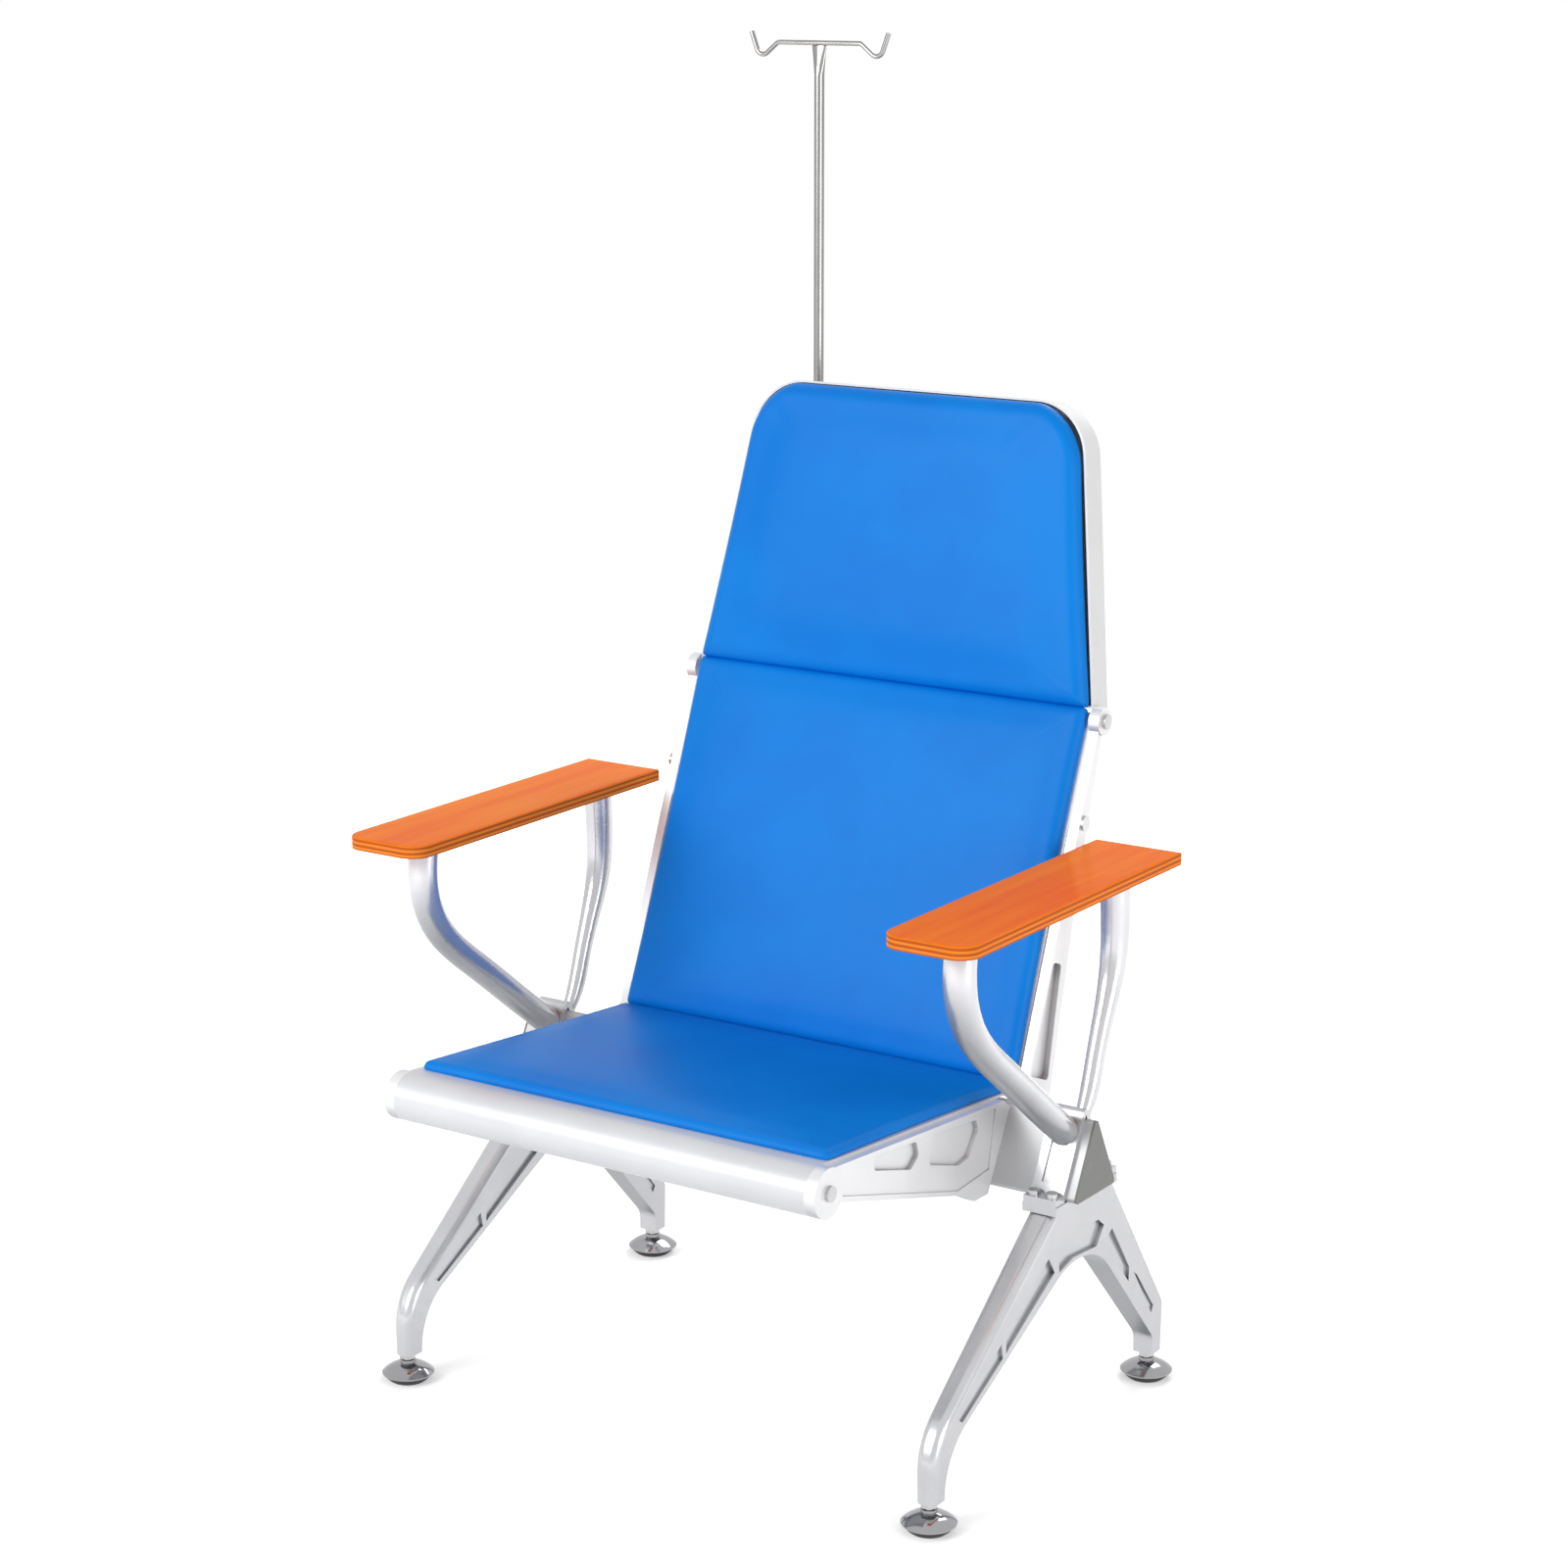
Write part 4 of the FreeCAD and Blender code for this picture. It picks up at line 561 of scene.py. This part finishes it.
def mesh_object(name: str, points: np.ndarray, faces: np.ndarray) -> bpy.types.Object:
    """Make a smooth mesh object at the origin with doubles merged and faces turned outwards.

    Args:
        name: the object's name.
        points: an array of N by 3 coordinates.
        faces: an array of M by 4 corner numbers.

    Returns:
        The object, linked to the scene.
    """
    mesh = bpy.data.meshes.new(name)
    mesh.from_pydata(points.reshape(-1, 3).tolist(), [], faces.reshape(-1, 4).tolist())
    work = bmesh.new()
    work.from_mesh(mesh)
    bmesh.ops.remove_doubles(work, verts=work.verts, dist=MERGE_GAP)
    bmesh.ops.recalc_face_normals(work, faces=work.faces)
    work.to_mesh(mesh)
    work.free()
    mesh.polygons.foreach_set("use_smooth", np.ones(len(mesh.polygons), bool))
    thing = bpy.data.objects.new(name, mesh)
    bpy.context.scene.collection.objects.link(thing)
    return thing


def grid_faces(rows: int, columns: int, wrap: bool = False, start: int = 0) -> np.ndarray:
    """Corner numbers of the quads of a grid.

    Args:
        rows: points along the first parameter.
        columns: points along the second parameter.
        wrap: whether the second parameter closes on itself.
        start: number of the grid's first point.

    Returns:
        An array of quads.
    """
    first = np.arange(rows - 1)[:, None] * columns
    last = first + columns
    across = np.arange(columns if wrap else columns - 1)[None, :]
    beside = (across + 1) % columns
    quads = np.stack([first + across, first + beside, last + beside, last + across], -1)
    return quads.reshape(-1, 4) + start


def smooth(share: np.ndarray) -> np.ndarray:
    """A smooth step, 3 p^2 - 2 p^3, of shares p held between 0 and 1."""
    held = np.clip(share, 0.0, 1.0)
    return held * held * (3 - 2 * held)


class Lie(Enum):
    """How a piece lies on the chair."""

    FLAT = "flat"
    UPRIGHT = "upright"


def laid(points: np.ndarray, lie: Lie, lean: float, origin: Sequence[float]) -> np.ndarray:
    """Carry points from the bench, where Y runs along a piece and Z out of it, to the chair.

    Args:
        points: an array of N by 3 coordinates on the bench.
        lie: whether the piece lies along the seat or stands up the back.
        lean: its angle from level, or from upright.
        origin: the middle of its first end on the chair.

    Returns:
        The points in the chair's frame.
    """
    cosine, sine = math.cos(lean), math.sin(lean)
    if lie is Lie.FLAT:
        axes = np.array([[1.0, 0.0, 0.0], [0.0, cosine, -sine], [0.0, sine, cosine]])
    else:
        axes = np.array([[1.0, 0.0, 0.0], [0.0, sine, cosine], [0.0, -cosine, sine]])
    return points @ axes + np.asarray(origin)


@dataclass(frozen=True)
class Stuffing:
    """How a cover behaves as cloth while air pressure swells it."""

    quality: int = 6
    mass: float = 0.25
    stretch: float = 25.0
    shear: float = 12.0
    bend: float = 4.0
    pressure: float = 4.0
    frames: int = 20
    tacked_share: float = 0.55
    border_lift: float = 0.35

    def fill(self, cloth: bpy.types.ClothModifier, held: str) -> None:
        """Set a cloth modifier up.

        Args:
            cloth: the modifier.
            held: the group of vertices that stay where they are.
        """
        settings = cloth.settings
        settings.quality = self.quality
        settings.mass = self.mass
        settings.tension_stiffness = settings.compression_stiffness = self.stretch
        settings.shear_stiffness = self.shear
        settings.bending_stiffness = self.bend
        settings.use_pressure = True
        settings.uniform_pressure_force = self.pressure
        settings.vertex_group_mass = held
        settings.effector_weights.gravity = 0.0
        cloth.point_cache.frame_start = 1
        cloth.point_cache.frame_end = self.frames


@dataclass
class Cushion:
    """A thin upholstered pad: a crowned top, a rolled edge, drawn-in sides and a flat underside."""

    name: str
    node: str
    lie: Lie
    origin: Place
    lean: float
    length: float
    start_width: float
    end_width: float
    start_corner: float = 0.008
    end_corner: float = 0.008
    corner_spread: float = 2.2
    corner_least_share: float = 0.06
    corner_least_round: float = 0.25
    edge: float = 0.0096
    roll: float = 0.0055
    foot_roll: float = 0.0018
    edge_points: int = 24
    crown: float = 0.0055
    draw: float = 0.0025
    swell: float = 0.0042
    board: float = 0.0042
    board_span: Span = (0.025, 0.045)
    tuck: float = 0.0
    tuck_start: float = 0.8
    pucker: float = 0.00020
    pucker_pitch: float = 0.021
    pucker_wander: float = 2.3
    pucker_drift: Span = (37.0, 31.0)
    pucker_fade: float = 0.016
    pucker_floor: float = 0.6
    panel: float = 0.90
    plain_core: float = 0.4
    border: Span = (0.004, 0.036)
    stuffing: Stuffing = Stuffing()
    spread_rounds: int = 60
    across: int = 106
    along: int = 78
    piece: bpy.types.Object | None = field(default=None, init=False)

    def width_at(self, station: np.ndarray) -> np.ndarray:
        """The tapered width at stations from 0 at the pad's first end to 1 at its other end."""
        return self.start_width + (self.end_width - self.start_width) * station

    def outline(self, a: np.ndarray, b: np.ndarray, inset: np.ndarray) -> tuple[np.ndarray, np.ndarray]:
        """Rounded, tapered outline at points of a square's border.

        A point (a, b) of the unit square's border goes to the straight side while it is away from the
        corner, and round a quarter circle near it; the width then follows the taper and the drawn-in sides.

        Args:
            a: place across, -1 to 1.
            b: place along, -1 to 1.
            inset: how far inside the outline, in metres.

        Returns:
            Coordinates across and along, from the pad's middle. The ends stay straight where pads meet.
        """
        widest = max(self.start_width, self.end_width)
        corner = np.where(b > 0, self.end_corner, self.start_corner)
        wide = widest / 2 - inset
        long = self.length / 2 - inset
        round_ = np.maximum(corner - inset, corner * self.corner_least_round)
        share = np.maximum(self.corner_spread * corner / self.length, self.corner_least_share)
        side = np.abs(a) >= np.abs(b)
        place = np.where(side, np.abs(b), np.abs(a))
        reach = np.where(side, long, wide) - round_
        straight = np.minimum(place / (1 - share), 1.0) * reach
        angle = np.clip((place - (1 - share)) / share, 0.0, 1.0) * math.pi / 4
        run = straight + round_ * np.sin(angle)
        depth = np.where(side, wide, long) - round_ + round_ * np.cos(angle)
        x = np.sign(a) * np.where(side, depth, run)
        y = np.sign(b) * np.where(side, run, depth)
        station = np.clip((y + self.length / 2) / self.length, 0.0, 1.0)
        bow = 4 * station * (1 - station)
        taper = (self.width_at(station) - 2 * self.draw * bow) / widest
        return x * taper, y

    def edge_profile(self, share: np.ndarray) -> tuple[np.ndarray, np.ndarray]:
        """Inset and height along the rolled edge.

        The edge is an arc from the top, a short upright and a small arc at the foot, taken by length.

        Args:
            share: 0 at the top of the roll, 1 at the underside.

        Returns:
            Inset from the outline and height, in metres.
        """
        turn = np.linspace(0.0, np.pi / 2, self.edge_points)
        sine, cosine = np.sin(turn), np.cos(turn)
        inset = np.concatenate([self.roll * (1 - sine), self.foot_roll * (1 - cosine)])
        height = np.concatenate([self.edge - self.roll * (1 - cosine), self.foot_roll * (1 - sine)])
        length = np.concatenate([[0.0], np.cumsum(np.hypot(np.diff(inset), np.diff(height)))])
        return np.interp(share * length[-1], length, inset), np.interp(share * length[-1], length, height)

    def sheet(self, under: bool) -> np.ndarray:
        """Points of the top with its rolled edge, or of the underside, on one square grid.

        Rings of the square, r = max(|u|, |v|), become rings of the pad, which pass from a plain grid in the
        middle to the round outline. Outside the panel the top goes down the edge's profile, and it rises by
        crown (1 - s^2)(1 - t^4), where s and t are a point's place across and along, from -1 to 1. The
        underside is hollow for the board.

        Args:
            under: whether the underside is wanted.

        Returns:
            An array of along by across by 3 points.
        """
        v, u = np.meshgrid(np.linspace(-1, 1, self.along), np.linspace(-1, 1, self.across), indexing="ij")
        ring = np.maximum(np.maximum(np.abs(u), np.abs(v)), TINY)
        if under:
            panel = 1.0
            inset, height = np.full_like(u, self.foot_roll), np.zeros_like(u)
        else:
            panel = self.panel
            inset, height = self.edge_profile(np.clip((ring - panel) / (1 - panel), 0.0, 1.0))
        x, y = self.outline(u / ring, v / ring, inset)
        shrink = np.minimum(ring / panel, 1.0)
        s, t = np.clip(u / panel, -1, 1), np.clip(v / panel, -1, 1)
        near = smooth((shrink - self.plain_core) / (1 - self.plain_core))
        x = x * shrink * near + s * (self.width_at((t + 1) / 2) / 2 - inset) * (1 - near)
        y = y * shrink * near + t * (self.length / 2 - inset) * (1 - near)
        if under:
            start, end = self.board_span
            height = height + self.board * np.clip((1 - ring - start) / (end - start), 0.0, 1.0)
        else:
            lean = np.clip((t - self.tuck_start) / (1 - self.tuck_start), 0.0, 1.0) ** 2
            y = y + self.tuck * lean * np.clip(height / self.edge, 0.0, 1.0)
            half = self.width_at(y / self.length + 0.5) / 2
            s, t = np.clip(x / half, -1, 1), np.clip(2 * y / self.length, -1, 1)
            height = height + self.crown * (1 - s ** 2) * (1 - t ** 4)
        return np.stack([x, y + self.length / 2, height], -1)

    def build(self, wardrobe: Wardrobe) -> None:
        """Make the closed pad, swell it, lay it on the chair and dress it.

        Args:
            wardrobe: the finishes.
        """
        top, bottom = (self.sheet(under).reshape(-1, 3) for under in (False, True))
        faces = [grid_faces(self.along, self.across, start=start) for start in (0, len(top))]
        self.piece = mesh_object(self.name, np.concatenate([top, bottom]), np.concatenate(faces))
        self.inflate()
        self.gather()
        self.lay()
        rounder = self.piece.modifiers.new("smooth_cover", "SUBSURF")
        rounder.levels = rounder.render_levels = 1
        self.dress(wardrobe)
        LOG.info("cushion %s for %s", self.name, self.node)

    def coordinates(self) -> np.ndarray:
        """The pad's vertices as an array of N by 3."""
        flat = np.empty(len(self.piece.data.vertices) * 3)
        self.piece.data.vertices.foreach_get("co", flat)
        return flat.reshape(-1, 3)

    def put(self, points: np.ndarray) -> None:
        """Write the pad's vertices back."""
        self.piece.data.vertices.foreach_set("co", np.ascontiguousarray(points).ravel())
        self.piece.data.update()

    def inflate(self) -> None:
        """Swell the cover as cloth under pressure, held at its underside.

        The cloth's moves are evened out and fade towards the border, less so in height, and a move of length
        d is cut to swell times tanh(d / swell).
        """
        rest = self.coordinates()
        held = self.piece.vertex_groups.new(name="tacked")
        tacked = np.flatnonzero(rest[:, 2] <= self.edge * self.stuffing.tacked_share)
        held.add(tacked.tolist(), 1.0, "REPLACE")
        cloth = self.piece.modifiers.new("stuffing", "CLOTH")
        self.stuffing.fill(cloth, held.name)
        scene = bpy.context.scene
        for step in range(1, self.stuffing.frames + 1):
            scene.frame_set(step)
        shaped = self.piece.evaluated_get(bpy.context.evaluated_depsgraph_get())
        moved = np.empty(rest.size)
        shaped.data.vertices.foreach_get("co", moved)
        move = self.spread(moved.reshape(-1, 3) - rest)
        inner = self.inward(rest)[:, None]
        lift = self.stuffing.border_lift
        move *= np.concatenate([inner, inner, lift + (1 - lift) * inner], 1)
        far = np.linalg.norm(move, axis=1, keepdims=True)
        self.piece.modifiers.remove(cloth)
        self.piece.vertex_groups.remove(held)
        scene.frame_set(1)
        self.put(rest + move * self.swell * np.tanh(far / self.swell) / np.maximum(far, TINY))

    def spread(self, move: np.ndarray) -> np.ndarray:
        """Even out a field of moves: each round takes a vertex half way to the mean of its neighbours.

        Args:
            move: an array of N by 3 moves.

        Returns:
            The evened moves.
        """
        edges = np.empty(len(self.piece.data.edges) * 2, np.int64)
        self.piece.data.edges.foreach_get("vertices", edges)
        first, second = edges.reshape(-1, 2).T
        count = np.bincount(edges, minlength=len(move))[:, None]
        for _ in range(self.spread_rounds):
            total = np.zeros_like(move)
            np.add.at(total, first, move[second])
            np.add.at(total, second, move[first])
            move = (move + total / count) / 2
        return move

    def inward(self, points: np.ndarray) -> np.ndarray:
        """How far inside the border points lie: a smooth step in from the sides times one from the ends.

        Args:
            points: an array of N by 3 coordinates on the bench.

        Returns:
            N shares from 0 at the border to 1 inside it.
        """
        near, far = self.border
        to_side = self.width_at(points[:, 1] / self.length) / 2 - np.abs(points[:, 0])
        to_end = self.length / 2 - np.abs(points[:, 1] - self.length / 2)
        return np.prod(smooth((np.stack([to_side, to_end]) - near) / (far - near)), axis=0)

    def ripple(self, place: np.ndarray, drift: float) -> np.ndarray:
        """A wave along the border whose pitch wanders: sin(2 pi p / pitch + wander sin(drift p))."""
        return np.sin(2 * np.pi * place / self.pucker_pitch + self.pucker_wander * np.sin(place * drift))

    def gather(self) -> None:
        """Pull fine puckers into the cover where it turns over the edge.

        The height changes by a wave along the border that fades with the distance from it.
        """
        points = self.coordinates()
        to_side = max(self.start_width, self.end_width) / 2 - np.abs(points[:, 0])
        to_end = self.length / 2 - np.abs(points[:, 1] - self.length / 2)
        side_drift, end_drift = self.pucker_drift
        depth = self.ripple(points[:, 1], side_drift) * np.exp(-np.abs(to_side) / self.pucker_fade)
        depth += self.ripple(points[:, 0], end_drift) * np.exp(-np.abs(to_end) / self.pucker_fade)
        points[:, 2] += np.where(points[:, 2] > self.edge * self.pucker_floor, self.pucker * depth, 0.0)
        self.put(points)

    def lay(self) -> None:
        """Turn the pad from its bench to its place: along the seat, or up the back."""
        self.put(laid(self.coordinates(), self.lie, self.lean, self.origin))
        work = bmesh.new()
        work.from_mesh(self.piece.data)
        bmesh.ops.recalc_face_normals(work, faces=work.faces)
        work.to_mesh(self.piece.data)
        work.free()

    def dress(self, wardrobe: Wardrobe) -> None:
        """Give the pad its leather, carry it on the frame's body and hide its solid.

        Args:
            wardrobe: the finishes.
        """
        wardrobe.dress(self.piece, "blue_leather")
        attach(self.piece, FRAME_BODY)
        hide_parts(self.node)


@dataclass
class HeadBoard:
    """The plywood board in the head pad, with round corners so that the pad's own corners hide it."""

    name: str = "head_panel"
    node: str = "head_board"
    thickness: float = 0.004
    corner: float = 0.060
    bevel: float = 0.0006
    around: int = 96

    def build(self, lean: float, wardrobe: Wardrobe) -> None:
        """Lay the board where its solid is.

        A rounded rectangle, the sum of a corner's circle and the straight sides, is carried up the bevelled
        edge; its length and place come from the solid's box.

        Args:
            lean: the head's angle from upright.
            wardrobe: the finishes.
        """
        low, high = (np.asarray(corner, float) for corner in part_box(self.node))
        thick, bevel = self.thickness, self.bevel
        cosine, sine = math.cos(lean), math.sin(lean)
        length = (high[2] - low[2] - thick * sine) / cosine
        angle = np.linspace(0.0, 2 * np.pi, self.around, endpoint=False)
        circle = np.stack([np.cos(angle), np.sin(angle)], -1)
        side = np.where(np.abs(circle) < TINY, 0.0, np.sign(circle))
        edge = side * (np.array([high[0], length / 2]) - self.corner) + circle * self.corner
        inset = 1.0 - bevel / high[0]
        share = np.array([0.0, inset, 1.0, 1.0, inset, 0.0])
        height = np.array([0.0, 0.0, bevel, thick - bevel, thick, thick])
        flat = share[:, None, None] * edge[None] + np.array([0.0, length / 2])
        rise = np.broadcast_to(height[:, None, None], (len(height), self.around, 1))
        origin = (0.0, low[1] + thick * cosine, low[2])
        points = laid(np.concatenate([flat, rise], -1), Lie.UPRIGHT, lean, origin)
        piece = mesh_object(self.name, points, grid_faces(len(height), self.around, True))
        wardrobe.dress(piece, "plywood")
        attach(piece, FRAME_BODY)
        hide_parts(self.node)
        LOG.info("board %s for %s", self.name, self.node)


@dataclass
class Upholstery:
    """The three pads of the chair and the head pad's board."""

    seat_lean: float = math.atan(0.0757)
    back_lean: float = math.atan(0.394)
    head_lean: float = math.atan(0.172)

    def cushions(self) -> list[Cushion]:
        """The pads at the places of their solids.

        Returns:
            The seat, back and head pads.
        """
        seat = Cushion("seat_pad", "seat_cushion", Lie.FLAT, (0.0, -0.32700, 0.40871), self.seat_lean,
                       length=0.3745, start_width=0.532, end_width=0.532, edge=0.0105, roll=0.0090,
                       tuck=0.0026)
        back = Cushion("back_pad", "back_cushion", Lie.UPRIGHT, (0.0, 0.057246, 0.382356), self.back_lean,
                       length=0.4279, start_width=0.532, end_width=0.527, edge=0.0135, roll=0.0115)
        head = Cushion("head_pad", "head_cushion", Lie.UPRIGHT, (0.0, 0.213701, 0.778645), self.head_lean,
                       length=0.3351, start_width=0.527, end_width=0.426, end_corner=0.069, edge=0.0180,
                       roll=0.0165, crown=0.0050, border=(0.010, 0.085))
        return [seat, back, head]

    def build(self, wardrobe: Wardrobe) -> None:
        """Make and dress the pads and the board.

        Args:
            wardrobe: the finishes.
        """
        for cushion in self.cushions():
            cushion.build(wardrobe)
        HeadBoard().build(self.head_lean, wardrobe)


@dataclass(frozen=True)
class Lamp:
    """A square soft lamp that looks at the chair's middle."""

    name: str
    place: Place
    side: float
    watts: float
    target: Place = (0.0, 0.0, 0.6)

    def hang(self) -> None:
        """Put the lamp in its place and turn it to its target.

        Its turn about X is the angle from straight down to the way there, and its turn about Z follows that
        way round the floor.
        """
        lamp = bpy.data.lights.new(self.name, "AREA")
        lamp.size = self.side
        lamp.energy = self.watts
        holder = bpy.data.objects.new(self.name, lamp)
        bpy.context.scene.collection.objects.link(holder)
        x, y, z = np.subtract(self.target, self.place)
        holder.location = self.place
        holder.rotation_euler = (math.atan2(math.hypot(x, y), -z), 0.0, math.atan2(y, x) - math.pi / 2)
        LOG.info("lamp %s", self.name)


@dataclass
class Studio:
    """A pale floor, soft lamps and the camera at the photograph's angle."""

    floor_rings: tuple[float, ...] = (0.0, 1.0, 3.0, 9.0)
    floor_around: int = 96
    floor_fade: Span = (2.6, 5.5)
    floor_colour: Colour = (0.93, 0.93, 0.93)
    floor_glow: float = 0.35
    glow_reach: Span = (0.7, 2.2)
    sky: float = 0.47
    sky_colour: Colour = (1.0, 1.0, 1.0)
    lamps: tuple[Lamp, ...] = (
        Lamp("key", (-1.5, -3.8, 2.3), 2.2, 106.0),
        Lamp("fill", (3.4, -0.8, 1.0), 1.6, 40.0),
        Lamp("top", (0.0, 2.4, 3.0), 1.6, 42.0),
    )
    eye: Place = (2.0657, -3.0933, 1.6053)
    pitch: float = math.radians(76.3292)
    heading: float = math.radians(33.7995)
    lens: float = 79.072
    sensor: float = 36.0

    def build(self) -> None:
        """Set the stage."""
        bpy.context.scene.view_settings.view_transform = "Standard"
        self.lay_floor()
        self.light_sky()
        for lamp in self.lamps:
            lamp.hang()
        self.aim_camera()

    def lay_floor(self) -> None:
        """A disc of floor, rings of points round the middle, that fades into the white behind it.

        Its own glow rises with the distance from the chair, so that the shadow stays and the rest is white.
        """
        angle = np.linspace(0.0, 2 * np.pi, self.floor_around, endpoint=False)
        radius = np.array(self.floor_rings)[:, None]
        level = np.zeros((len(radius), self.floor_around))
        points = np.stack([radius * np.cos(angle), radius * np.sin(angle), level], -1)
        floor = mesh_object("floor", points, grid_faces(*level.shape, True))
        graph = Graph.paint("floor_paint")
        length = graph.node("ShaderNodeVectorMath", {"operation": "LENGTH"}, {0: graph.place()}, "Value")
        paint = graph.node("ShaderNodeBsdfDiffuse", {}, {"Color": graph.rgba(self.floor_colour)})
        clear = graph.node("ShaderNodeBsdfTransparent", {}, {})
        lift = self.floor_glow + length.step(*self.glow_reach) * (1.0 - self.floor_glow)
        glow = graph.node("ShaderNodeEmission", {}, {"Strength": graph.seen() * lift})
        lit = graph.node("ShaderNodeAddShader", {}, {0: paint, 1: glow})
        fade = length.step(*self.floor_fade)
        graph.close(graph.node("ShaderNodeMixShader", {}, {0: fade, 1: lit, 2: clear}))
        floor.data.materials.append(graph.owner)

    def light_sky(self) -> None:
        """A white surround for the camera and for reflections, and a plain level of light for the rest."""
        world = bpy.data.worlds.new("white_room")
        bpy.context.scene.world = world
        graph = Graph(world, "ShaderNodeOutputWorld")
        level = self.sky + graph.seen() * (1.0 - self.sky)
        inputs = {"Color": graph.rgba(self.sky_colour), "Strength": level}
        graph.close(graph.node("ShaderNodeBackground", {}, inputs))

    def aim_camera(self) -> None:
        """The camera at the photograph's place, angle and lens."""
        lens = bpy.data.cameras.new("photo_camera")
        lens.lens = self.lens
        lens.sensor_width = lens.sensor_height = self.sensor
        eye = bpy.data.objects.new("photo_camera", lens)
        eye.location = self.eye
        eye.rotation_euler = (self.pitch, 0.0, self.heading)
        bpy.context.scene.collection.objects.link(eye)
        bpy.context.scene.camera = eye


def main() -> None:
    """Load the solids, dress them, add the soft pieces and set the stage."""
    logging.basicConfig(level=logging.INFO, format="%(name)s: %(message)s")
    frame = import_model()
    wardrobe = Wardrobe(frame)
    wardrobe.dress_solids()
    Upholstery().build(wardrobe)
    Studio().build()


if __name__ == "__main__":
    main()
